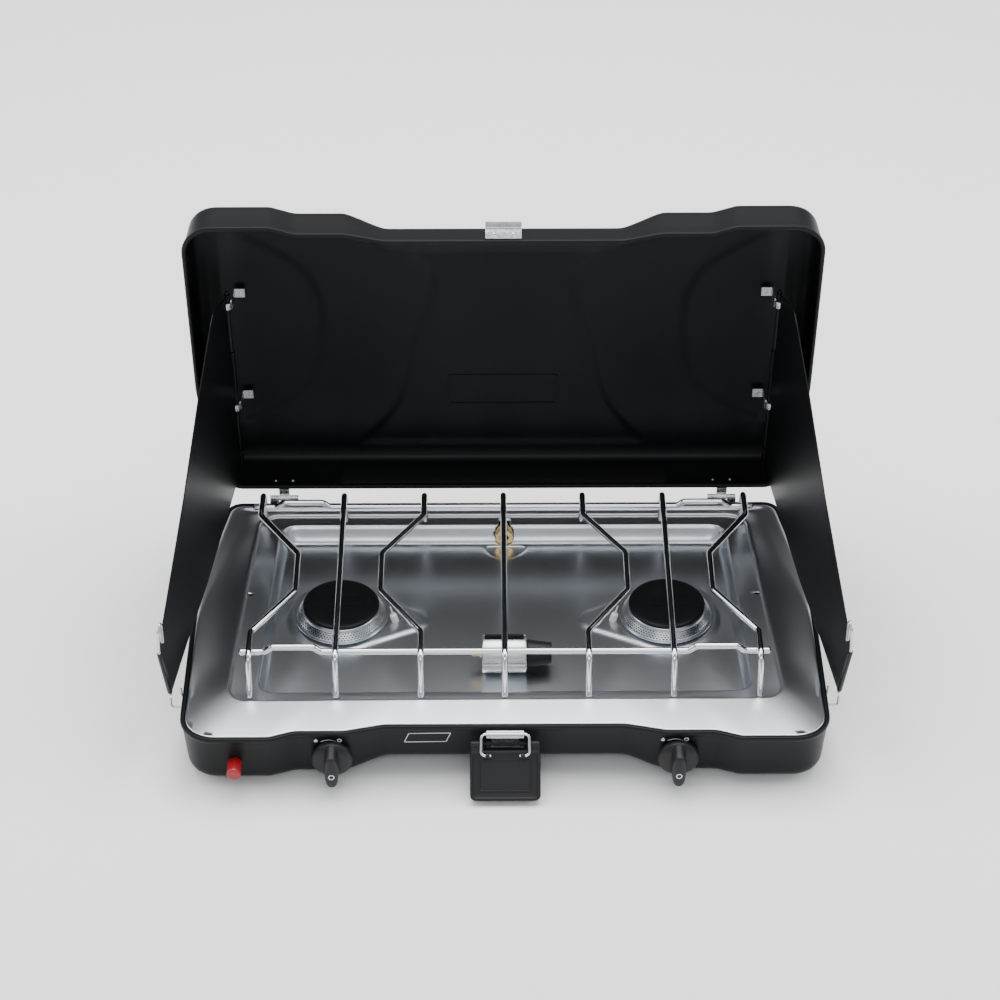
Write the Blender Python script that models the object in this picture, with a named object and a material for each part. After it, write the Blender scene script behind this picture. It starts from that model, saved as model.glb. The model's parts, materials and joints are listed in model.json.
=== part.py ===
"""Two-burner camp stove, lid propped open and wind wings out. Lengths below are in millimetres,
the finished meshes are in metres, +Z is up and the front faces -Y."""

import math

import bmesh
import bpy
from mathutils import Matrix, Vector

for old in list(bpy.data.objects):
    bpy.data.objects.remove(old, do_unlink=True)

MM = 0.001
GAP = 0.3

# Frame: the table is z = 0, and PLAN_Y moves the plan so that the whole part is centred on the origin.
PLAN_Y = -8.0
RIM_Z = 56.0
BASE_DEEP = 52.0
FOOT_HIGH = RIM_Z - BASE_DEEP

# Plan outline shared by base and lid: half width, rear taper and the two steps of the front edge.
HALF_WIDE = 276.3
REAR_HALF_WIDE = 254.3
FRONT_Y = -163.3
REAR_Y = 161.0
TAPER_Y = 40.0
CENTRE_SETBACK = 15.5
STEP_SETBACK = 7.5
STEP_X = (102.0, 136.0, 178.0, 199.0)
CENTRE_RAISE = 8.0

# Tray: flat margin, ledge that carries the grate, and the sunken floor.
MARGIN_DROP = 0.6
LEDGE_DROP = 3.0
FLOOR_DROP = 18.0
SHEET = 0.8

# Lid: hinge axis behind the rim, forward lean of the open lid, wall depth.
LEAN = math.radians(9.0)
AXIS_Y = 166.0
AXIS_Z = RIM_Z + 2.4
LID_Y = 165.2
LID_Z = RIM_Z + 12.3
LID_DEEP = 39.5
LID_RAISE = 12.0

# Burners and controls.
BURNER_X = 145.0
BURNER_Y = 17.0
KNOB_X = 147.0
KNOB_Z = RIM_Z - 25.5
KNOB_Y = -155.8
BUTTON_X = -229.5
BUTTON_Z = RIM_Z - 28.0
BUTTON_Y = -150.3

# Grate wires.
WIRE_R = 2.5
GRATE_Z = RIM_Z + 35.0
GRATE_FRONT_Y = -96.0
GRATE_REAR_Y = 132.0

# Wings: hinge rod place in the lid, outward flare, sheet thickness.
WING_X = 242.0
WING_N = 20.0
FLARE = math.radians(9.0)
WING_SHEET = 1.0
LIFT = 50.0

# Latch.
HANDLE_LEAN = math.radians(38.0)
HANDLE_Y = -152.3
HANDLE_Z = RIM_Z - 14.0
HANDLE_HALF = 30.0
BAIL_TOP_Y = -153.3
BAIL_TOP_Z = RIM_Z - 3.0
BAIL_HALF = 20.5
BAIL_SEAT = 9.5

# Hook at each side that takes the foot of the wing's edge wire.
HOOK_Y = -103.0
HOOK_Z = RIM_Z - 16.0
HOOK_SPREAD = 14.0


# ---------------------------------------------------------------- materials
def material(name, colour, rough, metal):
    """One Principled material, made once per name."""
    found = bpy.data.materials.get(name)
    if found:
        return found
    made = bpy.data.materials.new(name)
    made.use_nodes = True
    shader = made.node_tree.nodes["Principled BSDF"]
    shader.inputs["Base Color"].default_value = (*colour, 1.0)
    shader.inputs["Roughness"].default_value = rough
    shader.inputs["Metallic"].default_value = metal
    made.diffuse_color = (*colour, 1.0)
    return made


def black_paint():
    return material("black_paint", (0.018, 0.019, 0.021), 0.42, 0.0)


def stainless():
    return material("brushed_stainless", (0.62, 0.63, 0.64), 0.30, 1.0)


def chrome():
    return material("chrome_wire", (0.75, 0.76, 0.78), 0.12, 1.0)


def zinc():
    return material("zinc_steel", (0.58, 0.59, 0.60), 0.34, 1.0)


def aluminium():
    return material("cast_aluminium", (0.66, 0.67, 0.68), 0.38, 1.0)


def brass():
    return material("brass", (0.72, 0.52, 0.22), 0.28, 1.0)


def black_plastic():
    return material("black_plastic", (0.02, 0.02, 0.022), 0.50, 0.0)


def red_plastic():
    return material("red_plastic", (0.62, 0.02, 0.03), 0.35, 0.0)


def rubber():
    return material("foot_rubber", (0.025, 0.025, 0.025), 0.80, 0.0)


def ceramic():
    return material("white_ceramic", (0.80, 0.79, 0.75), 0.30, 0.0)


# ---------------------------------------------------------------- mesh helpers
def make(name, verts, faces, mat, smooth=False):
    """Object from vertices in mm, faces turned outward."""
    mesh = bpy.data.meshes.new(name)
    mesh.from_pydata([(x * MM, (y + PLAN_Y) * MM, z * MM) for x, y, z in verts], [], faces)
    work = bmesh.new()
    work.from_mesh(mesh)
    bmesh.ops.remove_doubles(work, verts=work.verts, dist=1e-7)
    bmesh.ops.recalc_face_normals(work, faces=work.faces)
    work.to_mesh(mesh)
    work.free()
    for face in mesh.polygons:
        face.use_smooth = smooth
    mesh.materials.append(mat)
    made = bpy.data.objects.new(name, mesh)
    bpy.context.scene.collection.objects.link(made)
    return made


def loft(name, rings, mat, smooth=False, ring_closed=False):
    """Skin over rings of equal length, capped at both ends unless ring_closed joins last to first."""
    count = len(rings[0])
    verts = [p for ring in rings for p in ring]
    faces = []
    spans = len(rings) if ring_closed else len(rings) - 1
    for k in range(spans):
        low, high = k * count, ((k + 1) % len(rings)) * count
        for i in range(count):
            j = (i + 1) % count
            faces.append((low + i, low + j, high + j, high + i))
    if not ring_closed:
        faces.append(tuple(range(count)))
        faces.append(tuple(range(len(verts) - count, len(verts))))
    return make(name, verts, faces, mat, smooth)


def box(name, low, high, mat):
    x0, y0, z0 = low
    x1, y1, z1 = high
    ring = [(x0, y0), (x1, y0), (x1, y1), (x0, y1)]
    return loft(name, [[(x, y, z) for x, y in ring] for z in (z0, z1)], mat)


def frame_of(axis):
    """Two unit vectors square to axis."""
    axis = Vector(axis).normalized()
    side = Vector((1, 0, 0)) if abs(axis.x) < 0.9 else Vector((0, 1, 0))
    first = axis.cross(side).normalized()
    return first, axis.cross(first)


def lathe(name, start, axis, profile, mat, sides=24, hollow=False, smooth=True):
    """Turned body: profile holds (distance along axis, radius). hollow closes the profile on itself."""
    first, second = frame_of(axis)
    axis = Vector(axis).normalized()
    rings = []
    for along, radius in profile:
        centre = Vector(start) + axis * along
        ring = []
        for i in range(sides):
            turn = 2 * math.pi * i / sides
            ring.append(tuple(centre + (first * math.cos(turn) + second * math.sin(turn)) * radius))
        rings.append(ring)
    return loft(name, rings, mat, smooth, ring_closed=hollow)


def bent_path(points, radius, steps=4):
    """Polyline with each inner corner rounded by an arc."""
    path = [Vector(points[0])]
    for before, corner, after in zip(points, points[1:], points[2:]):
        corner = Vector(corner)
        back = (Vector(before) - corner).normalized()
        ahead = (Vector(after) - corner).normalized()
        turn = math.pi - back.angle(ahead)
        if turn < 0.02:
            path.append(corner)
            continue
        reach = min(radius * math.tan(turn / 2), (Vector(before) - corner).length * 0.49)
        reach = min(reach, (Vector(after) - corner).length * 0.49)
        bow = reach / math.tan(turn / 2)
        middle = corner + (back + ahead).normalized() * math.hypot(reach, bow)
        start, end = corner + back * reach, corner + ahead * reach
        for k in range(steps + 1):
            mix = k / steps
            angle = turn * mix
            arm = start - middle
            other = end - middle
            weight_a = math.sin(turn - angle) / math.sin(turn)
            weight_b = math.sin(angle) / math.sin(turn)
            path.append(middle + arm * weight_a + other * weight_b)
    path.append(Vector(points[-1]))
    return path


def wire(name, points, radius, mat, bend=8.0, sides=8, steps=4):
    """Round wire swept along a bent path."""
    path = bent_path(points, bend, steps)
    heading = (path[1] - path[0]).normalized()
    first, _ = frame_of(heading)
    rings = []
    for k, here in enumerate(path):
        before = (here - path[k - 1]).normalized() if k else (path[1] - here).normalized()
        after = (path[k + 1] - here).normalized() if k + 1 < len(path) else before
        along = (before + after).normalized()
        first = (first - along * first.dot(along)).normalized()
        second = along.cross(first)
        ring = []
        for i in range(sides):
            turn = 2 * math.pi * i / sides
            ring.append(tuple(here + (first * math.cos(turn) + second * math.sin(turn)) * radius))
        rings.append(ring)
    return loft(name, rings, mat, smooth=True)


def join_or_cut(keep, tool, operation):
    """Applies an exact Boolean and removes the tool."""
    step = keep.modifiers.new("step", "BOOLEAN")
    step.object = tool
    step.operation = operation
    step.solver = "EXACT"
    graph = bpy.context.evaluated_depsgraph_get()
    result = bpy.data.meshes.new_from_object(keep.evaluated_get(graph))
    keep.modifiers.clear()
    keep.data = result
    bpy.data.objects.remove(tool, do_unlink=True)
    return keep


def hole(keep, start, axis, length, radius, sides=24):
    """Drills a round hole."""
    drill = lathe("drill", start, axis, [(0, radius), (length, radius)], keep.data.materials[0], sides)
    return join_or_cut(keep, drill, "DIFFERENCE")


# ---------------------------------------------------------------- outlines
def rounded(corners, inset=0.0, steps=3):
    """Counter-clockwise outline moved inward by inset, every corner rounded by its own radius."""
    count = len(corners)
    lines = []
    for k in range(count):
        a, b = Vector(corners[k][:2]), Vector(corners[(k + 1) % count][:2])
        ahead = (b - a).normalized()
        inward = Vector((-ahead.y, ahead.x))
        lines.append((a + inward * inset, ahead))
    outline = []
    for k in range(count):
        (p, d), (q, e) = lines[k - 1], lines[k]
        cross = d.x * e.y - d.y * e.x
        radius = corners[k][2]
        if abs(cross) < 0.02:
            spot = q
            for m in range(steps + 1):
                outline.append(tuple(spot + e * (m - steps / 2) * 1.2))
            continue
        t = ((q - p).x * e.y - (q - p).y * e.x) / cross
        spot = p + d * t
        turn = math.asin(max(-1.0, min(1.0, cross)))
        if d.dot(e) < 0:
            turn = math.copysign(math.pi - abs(turn), turn)
        size = max(0.8, radius - inset if turn > 0 else radius + inset)
        reach = size * math.tan(abs(turn) / 2)
        start = spot - d * reach
        side = math.copysign(1.0, turn)
        middle = start + Vector((-d.y, d.x)) * side * size
        arm = start - middle
        for m in range(steps + 1):
            angle = turn * m / steps
            c, s = math.cos(angle), math.sin(angle)
            outline.append(tuple(middle + Vector((arm.x * c - arm.y * s, arm.x * s + arm.y * c))))
    return outline


def mirrored(right):
    """Full counter-clockwise corner list from its right half, front centre to rear."""
    left = [(-x, y, r) for x, y, r in reversed(right)]
    return right + left


def body_corners():
    """Plan of base and lid: recessed front centre, two cheeks, tapered rear."""
    return mirrored([
        (STEP_X[0], FRONT_Y + CENTRE_SETBACK, 22.0),
        (STEP_X[1], FRONT_Y + STEP_SETBACK, 22.0),
        (STEP_X[2], FRONT_Y + STEP_SETBACK, 16.0),
        (STEP_X[3], FRONT_Y, 16.0),
        (HALF_WIDE, FRONT_Y, 30.0),
        (HALF_WIDE, TAPER_Y, 160.0),
        (REAR_HALF_WIDE, REAR_Y, 16.0),
    ])


def recess_corners(front_x, side_x, rear_x, front_y, rear_y, radius):
    """Plan of a tray step, with the same number of corners as the body plan."""
    return mirrored([(x * 0.9, front_y, 1.0) for x in STEP_X] + [
        (front_x, front_y, radius),
        (side_x, TAPER_Y, 160.0),
        (rear_x, rear_y, radius),
    ])


def centre_weight(x, y):
    """1 along the recessed middle of the front edge, falling to 0 at the cheeks and towards the rear."""
    across = min(1.0, max(0.0, (STEP_X[1] - abs(x)) / (STEP_X[1] - STEP_X[0] + 8.0)))
    along = 1.0 if y < FRONT_Y + 42.0 else 0.0
    return across * along


def pan_rings(profile, lift=CENTRE_RAISE):
    """Rings of a stamped pan. Each profile row holds the inset, the height, the share of the centre
    lift and the pull of the front centre to the rear."""
    rings = []
    for inset, height, raised, pulled in profile:
        ring = []
        for x, y in rounded(body_corners(), inset):
            weight = centre_weight(x, y)
            ring.append((x, y + weight * pulled, height + weight * raised * lift))
        rings.append(ring)
    return rings


PULL = 16.0
PAN = [
    (20.0, -BASE_DEEP, 0.0, PULL),
    (9.5, -BASE_DEEP + 3.0, 1.0, 0.0),
    (5.5, -BASE_DEEP + 10.5, 1.0, 0.0),
    (1.0, -5.0, 0.0, 0.0),
    (0.0, -2.0, 0.0, 0.0),
    (0.6, 0.6, 0.0, 0.0),
    (2.0, 0.6, 0.0, 0.0),
    (2.2, -5.0, 0.0, 0.0),
    (6.9, -BASE_DEEP + 11.3, 1.0, 0.0),
    (10.8, -BASE_DEEP + 4.4, 1.0, 0.4),
    (20.6, -BASE_DEEP + 1.2, 0.0, PULL + 0.4),
]


def lid_point(x, s, n):
    """Place in the open lid: s up along it from its hinge-side edge, n backwards from its mouth."""
    y = LID_Y - s * math.sin(LEAN) + n * math.cos(LEAN)
    z = LID_Z + s * math.cos(LEAN) + n * math.sin(LEAN)
    return (x, y, z)


# ---------------------------------------------------------------- base
def base_shell():
    rings = [[(x, y, RIM_Z + z) for x, y, z in ring] for ring in pan_rings(PAN)]
    shell = loft("base_shell", rings, black_paint())
    for side in (-1, 1):
        hole(shell, (side * KNOB_X, -170.0, KNOB_Z), (0, 1, 0), 30.0, 5.0)
    hole(shell, (BUTTON_X, -175.0, BUTTON_Z), (0, 1, 0), 30.0, 6.8)
    for side in (-1, 1):
        for y in (HOOK_Y, HOOK_Y + HOOK_SPREAD):
            hole(shell, (side * (HALF_WIDE - 12.0), y, HOOK_Z), (side, 0, 0), 20.0, 1.4, 12)
    return shell


def top_tray():
    """Pressed tray: flat margin, ledge and sunken floor, with burner and gas openings."""
    body = body_corners()
    outer = recess_corners(239.0, 231.0, 223.5, -113.4, 145.0, 18.0)
    ledge = recess_corners(238.0, 230.0, 222.5, -112.4, 143.5, 18.0)
    inner = recess_corners(213.0, 208.0, 205.0, -98.0, 131.0, 14.0)
    floor = recess_corners(209.0, 204.0, 199.5, -93.0, 122.0, 12.0)
    steps = [
        (body, 2.6, -1.6), (body, 3.0, -MARGIN_DROP), (outer, 0.0, -MARGIN_DROP),
        (ledge, 0.0, -LEDGE_DROP), (inner, 0.0, -LEDGE_DROP), (floor, 0.0, -FLOOR_DROP),
    ]
    top = [[(x, y, RIM_Z + z) for x, y in rounded(plan, inset)] for plan, inset, z in steps]
    under = []
    for plan, inset, z in steps:
        under.append([(x, y, RIM_Z + z - SHEET) for x, y in rounded(plan, inset + 0.01)])
    tray = loft("top_tray", list(reversed(top)) + under, stainless())
    for side in (-1, 1):
        hole(tray, (side * BURNER_X, BURNER_Y, RIM_Z - FLOOR_DROP - 4.0), (0, 0, 1), 8.0, 16.0)
        hole(tray, (side * 226.5, 32.0, RIM_Z - 8.0), (0, 0, 1), 8.0, 2.0, 12)
    hole(tray, (0.8, 138.0, RIM_Z - 10.0), (0, -1, 0), 20.0, 9.5, 20)
    return tray


def feet():
    """Four short rubber studs under the base."""
    profile = [(0, 8.0), (0.8, 9.0), (FOOT_HIGH - GAP, 10.0)]
    for side, tag in ((-1, "left"), (1, "right")):
        lathe("foot_front_" + tag, (side * 228.0, -128.0, 0), (0, 0, 1), profile, rubber(), 12)
        lathe("foot_rear_" + tag, (side * 215.0, 122.0, 0), (0, 0, 1), profile, rubber(), 12)


def burners():
    for side, tag in ((-1, "left"), (1, "right")):
        x, top = side * BURNER_X, RIM_Z - 3.6
        spot = (x, BURNER_Y, 0)
        floor = RIM_Z - FLOOR_DROP
        lathe("burner_bowl_" + tag, spot, (0, 0, 1), [
            (floor - 6.0, 14.5), (floor + GAP, 14.5), (floor + GAP, 33.0), (floor + 4.0, 39.0),
            (floor + 4.6, 41.8), (floor + 5.4, 41.8), (floor + 5.4, 30.0), (floor + 5.4, 11.0),
            (floor - 6.0, 11.0),
        ], stainless(), 24, hollow=True)
        lathe("burner_ring_" + tag, spot, (0, 0, 1), [
            (floor + 5.7, 39.6), (top - 1.2, 35.0), (top - GAP, 33.5), (top - GAP, 31.5),
            (floor + 5.7, 37.2),
        ], stainless(), 24, hollow=True)
        lathe("burner_cap_" + tag, spot, (0, 0, 1), [
            (top - 1.5, 30.6), (top, 30.9), (top, 33.6), (top + 2.6, 34.0), (top + 3.4, 33.0),
            (top + 3.6, 22.0),
        ], black_paint(), 24)
        wire("burner_tube_" + tag, [
            (x, BURNER_Y, floor - 6.0 - GAP), (x, BURNER_Y, floor - 15.0),
            (x, BURNER_Y - 68.0, floor - 15.0), (x + side * 2.0, -115.5, KNOB_Z),
        ], 7.0, zinc(), bend=9.0, sides=8, steps=2)
        lathe("valve_" + tag, (side * KNOB_X, -117.0 - GAP, KNOB_Z), (0, -1, 0), [
            (0, 9.0), (14.0, 9.0), (14.0, 6.0), (22.0, 6.0),
        ], brass(), 12)
        lathe("valve_stem_" + tag, (side * KNOB_X, -140.0, KNOB_Z), (0, -1, 0), [
            (0, 3.0), (20.0, 3.0),
        ], zinc(), 8)
        tip_x = x - side * 48.0
        lathe("electrode_" + tag, (tip_x, BURNER_Y - 6.0, floor + 1.4), (side * 0.25, 0, 1), [
            (0, 3.4), (8.0, 3.2), (8.0, 1.0), (17.0, 0.8),
        ], ceramic(), 8)


def gas_line():
    """Inlet behind the rear wall, pipe under the floor, and the cross pipe between the valves."""
    z = RIM_Z - 34.0
    inlet_z = RIM_Z - 10.0
    lathe("inlet_fitting", (0.8, 121.0, inlet_z), (0, 1, 0), [
        (0, 8.4), (8.0, 8.4), (14.0, 7.0), (14.0, 4.0), (0, 4.0),
    ], brass(), 16, hollow=True)
    wire("supply_pipe", [
        (0.8, 135.0 + GAP, inlet_z), (0.8, 144.5, inlet_z), (0.8, 144.5, z), (0.8, -118.0, z),
    ], 3.5, zinc(), bend=6.5, sides=8, steps=2)
    reach = KNOB_X - 9.0 - GAP
    ends = [(-reach, -122.5, KNOB_Z - 1.0), (reach, -122.5, KNOB_Z - 1.0)]
    wire("cross_pipe", ends, 4.0, zinc(), sides=8)


def knobs():
    for side, tag in ((-1, "left"), (1, "right")):
        spot = (side * KNOB_X, KNOB_Y, KNOB_Z)
        knob = lathe("knob_" + tag, spot, (0, -1, 0), [
            (0, 16.5), (1.0, 17.5), (5.0, 17.5), (8.5, 13.0),
        ], black_plastic(), 24)
        low, high = -18.5, 17.0
        grip = []
        for depth, wide, trim in ((4.0, 6.2, 0.0), (19.0, 4.8, 1.2), (21.5, 3.4, 3.0)):
            ring = []
            for dx, dz in ((-0.5, high), (0.5, high), (1, high - 6), (1, low + 6), (0.45, low),
                           (-0.45, low), (-1, low + 6), (-1, high - 6)):
                dz = dz - math.copysign(trim, dz)
                ring.append((spot[0] + dx * wide, spot[1] - depth, spot[2] + dz))
            grip.append(ring)
        bar = loft("grip", grip, black_plastic())
        join_or_cut(knob, bar, "UNION")
        hole(knob, (spot[0], KNOB_Y + 3.0, KNOB_Z), (0, -1, 0), 9.0, 3.3, 12)


def igniter():
    lathe("igniter_button", (BUTTON_X, BUTTON_Y, BUTTON_Z), (0, -1, 0), [
        (0, 4.5), (6.0, 4.5), (6.0, 6.2), (25.0, 6.2), (26.4, 5.0),
    ], red_plastic(), 20)


# ---------------------------------------------------------------- grate
def grate():
    """Row of fore-and-aft wires with leg ends, on two cross bars."""
    foot_z = RIM_Z - LEDGE_DROP + GAP + WIRE_R
    front_foot, rear_foot = -108.5, 134.5
    for number in range(7):
        row = number - 3
        side = 1 if row > 0 else -1
        straight = number in (1, 3, 5)
        if straight:
            x = side * BURNER_X if row else 0.0
            run = [(x, GRATE_REAR_Y), (x, GRATE_FRONT_Y)]
            far = x
        else:
            outer = abs(row) == 3
            far = BURNER_X + (74.0 if outer else -73.0)
            near = BURNER_X + (38.0 if outer else -36.5)
            far, near = side * far, side * near
            run = [(far, GRATE_REAR_Y), (far, 98.0), (near, 43.0), (near, -8.0), (far, -64.0),
                   (far, GRATE_FRONT_Y)]
        path = [(run[0][0], rear_foot, foot_z)]
        path += [(x, y, GRATE_Z) for x, y in run]
        path.append((far, front_foot, foot_z))
        wire("grate_wire_%d" % (number + 1), path, WIRE_R, chrome(), bend=9.0, sides=6, steps=2)
    low = GRATE_Z - 2 * WIRE_R - GAP
    end, hump = 228.0, 5.4
    for tag, y in (("front", -84.0), ("rear", 117.0)):
        path = [(-end, y, low)]
        for first, last in ((-206.0, -158.0), (158.0, 206.0)):
            path += [(first, y, low), (first + 6, y, low + hump)]
            path += [(last - 6, y, low + hump), (last, y, low)]
        path.append((end, y, low))
        wire("grate_bar_" + tag, path, WIRE_R, chrome(), bend=6.0, sides=6, steps=1)


# ---------------------------------------------------------------- lid
def lid_shell():
    rings = []
    for ring in pan_rings([(i + 1.0, z, r, p * 1.6) for i, z, r, p in PAN], LID_RAISE):
        rings.append([lid_point(x, REAR_Y - y, lid_depth(z)) for x, y, z in ring])
    return loft("lid_shell", rings, black_paint())


def lid_depth(z):
    """Pan height turned into depth behind the lid's mouth."""
    return -(z - 0.6) * LID_DEEP / (BASE_DEEP + 0.6)


def hinges():
    for side, tag in ((-1, "left"), (1, "right")):
        x = side * 203.0
        axis_s = (AXIS_Y - LID_Y) * -math.sin(LEAN) + (AXIS_Z - LID_Z) * math.cos(LEAN)
        axis_n = (AXIS_Y - LID_Y) * math.cos(LEAN) + (AXIS_Z - LID_Z) * math.sin(LEAN)
        base = lathe("hinge_base_" + tag, (x - 13.0, AXIS_Y, AXIS_Z), (1, 0, 0), [
            (0, 2.6), (8.0, 2.6), (8.0, 1.2), (18.0, 1.2), (18.0, 2.6), (26.0, 2.6),
        ], zinc(), 16)
        for x0 in (x - 13.0, x + 5.0):
            low, high = (x0, REAR_Y + GAP, RIM_Z - 14.0), (x0 + 8.0, REAR_Y + 1.4, AXIS_Z + 1.0)
            leaf = box("leaf", low, high, zinc())
            join_or_cut(base, leaf, "UNION")
            low, high = (x0, REAR_Y + 1.0, AXIS_Z - 1.4), (x0 + 8.0, AXIS_Y - 1.5, AXIS_Z - 0.2)
            arm = box("arm", low, high, zinc())
            join_or_cut(base, arm, "UNION")
        low, high = (x - 13.0, REAR_Y + GAP, RIM_Z - 14.0), (x + 13.0, REAR_Y + 1.4, RIM_Z - 4.0)
        plate = box("plate", low, high, zinc())
        join_or_cut(base, plate, "UNION")
        half = 5.0 - GAP
        knuckle = lathe("hinge_lid_" + tag, (x - half, AXIS_Y, AXIS_Z), (1, 0, 0), [
            (0, 2.6), (2 * half, 2.6), (2 * half, 1.6), (0, 1.6),
        ], zinc(), 16, hollow=True)
        profile = [
            (axis_s + 1.9, -1.35), (axis_s + 1.9, -0.15), (-0.5, -0.15), (-0.5, 15.0), (0.7, 15.0),
            (0.7, -1.35),
        ]
        rings = [[lid_point(px, s, n + 1.5) for s, n in profile] for px in (x - half, x + half)]
        strap = loft("strap", rings, zinc())
        join_or_cut(knuckle, strap, "UNION")


def clip_rows():
    """Places along the lid where a clip holds the wing's rod."""
    return (86.0, 212.0)


def wings():
    swing = (-math.sin(FLARE), -math.cos(FLARE))
    for side, tag in ((-1, "left"), (1, "right")):
        def place(along, s, off=0.0):
            dx, dn = swing[0] * along, swing[1] * along
            ox, on = math.cos(FLARE) * off, -math.sin(FLARE) * off
            return lid_point(-side * (-WING_X + dx + ox), s, WING_N + dn + on)

        top_row = [(2.2, 229.0), (40.0, 249.0), (50.0, 251.0), (60.0, 247.5), (114.0, 218.0),
                   (190.0, 168.0), (294.0, 112.0), (303.0, 104.0)]
        bottom_row = [(286.0, 26.0), (228.0, 23.0), (150.0, 14.0), (10.0, 14.0), (2.2, 16.0)]
        edge = []
        for row in clip_rows():
            low, high = row - LIFT - 2.0, row + 10.0
            edge += [(2.2, low), (7.0, low), (7.0, high), (2.2, high)]
        outline = list(reversed(top_row)) + list(reversed(edge)) + list(reversed(bottom_row))
        half = WING_SHEET / 2
        rings = [[place(a, s, off) for a, s in outline] for off in (-half, half)]
        loft("wing_panel_" + tag, rings, black_paint())
        wire("wing_rod_" + tag, [place(0, 14.0), place(0, 232.0)], 1.5, zinc(), sides=6)
        for number, row in enumerate(clip_rows(), 1):
            spot = place(0, row)
            up = Vector(lid_point(0, 1, 0)) - Vector(lid_point(0, 0, 0))
            clip = lathe("wing_clip_%s_%d" % (tag, number), spot, up, [
                (0, 3.4), (8.0, 3.4), (8.0, 1.9), (0, 1.9),
            ], zinc(), 12, hollow=True)
            x0, x1 = WING_X - 2.6, WING_X - 14.0
            ring = [(x0, WING_N + 1.0), (x0, WING_N + 2.6), (x0 - 1.2, WING_N + 3.8), (x0 - 1.2, 36.8),
                    (x1, 36.8), (x1, 35.6), (x0 - 2.4, 35.6), (x0 - 2.4, WING_N + 1.0)]
            rings = [[lid_point(side * x, s, n) for x, n in ring] for s in (row, row + 8.0)]
            tab = loft("tab", rings, zinc())
            join_or_cut(clip, tab, "UNION")
        hem_top, hem_foot = place(303.0 + 2.9, 104.0), place(286.0 + 2.9, 26.0)
        loop = [hem_foot, hem_top, place(301.0, 122.0), place(294.0, 126.0), place(292.0, 120.0),
                place(300.5, 108.5, 2.6)]
        wire("wing_pull_" + tag, loop, 1.5, zinc(), bend=3.0, sides=6, steps=2)
        foot = Vector(hem_foot)
        start = (side * (HALF_WIDE - 8.0), HOOK_Y, HOOK_Z)
        wire("base_hook_" + tag, [
            (foot.x, HOOK_Y, foot.z - 1.5 - 3 * GAP), (foot.x, HOOK_Y, HOOK_Z), start,
            (side * (HALF_WIDE - 8.0), HOOK_Y + HOOK_SPREAD, HOOK_Z),
            (side * (HALF_WIDE + 4.5), HOOK_Y + HOOK_SPREAD, HOOK_Z),
            (side * (HALF_WIDE + 4.5), HOOK_Y + HOOK_SPREAD, HOOK_Z + 9.0),
        ], 1.0, zinc(), bend=2.5, sides=6, steps=1)


def strike_plate():
    """Angle plate riveted on the lid's front edge, which the latch wire catches."""
    s = REAR_Y - FRONT_Y - CENTRE_SETBACK - 1.0
    profile = [
        (s + GAP, 3.0), (s + GAP + 1.2, 3.0), (s - 1.2, 18.0), (s + 5.0, 19.0), (s + 5.0, 20.2),
        (s - 2.4, 19.4),
    ]
    rings = [[lid_point(x, a, n) for a, n in profile] for x in (-15.5, 15.5)]
    return loft("strike_plate", rings, zinc())


# ---------------------------------------------------------------- latch
def handle_point(x, down, out):
    """Place on the latch handle: down along it from its pivot, out from its back face."""
    y = HANDLE_Y - 1.6 - down * math.sin(HANDLE_LEAN) - out * math.cos(HANDLE_LEAN)
    z = HANDLE_Z - down * math.cos(HANDLE_LEAN) + out * math.sin(HANDLE_LEAN)
    return (x, y, z)


def bail_seat():
    """Axis of the bail's eyes on the front face of the lever."""
    return handle_point(0, BAIL_SEAT, 4.9)


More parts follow.
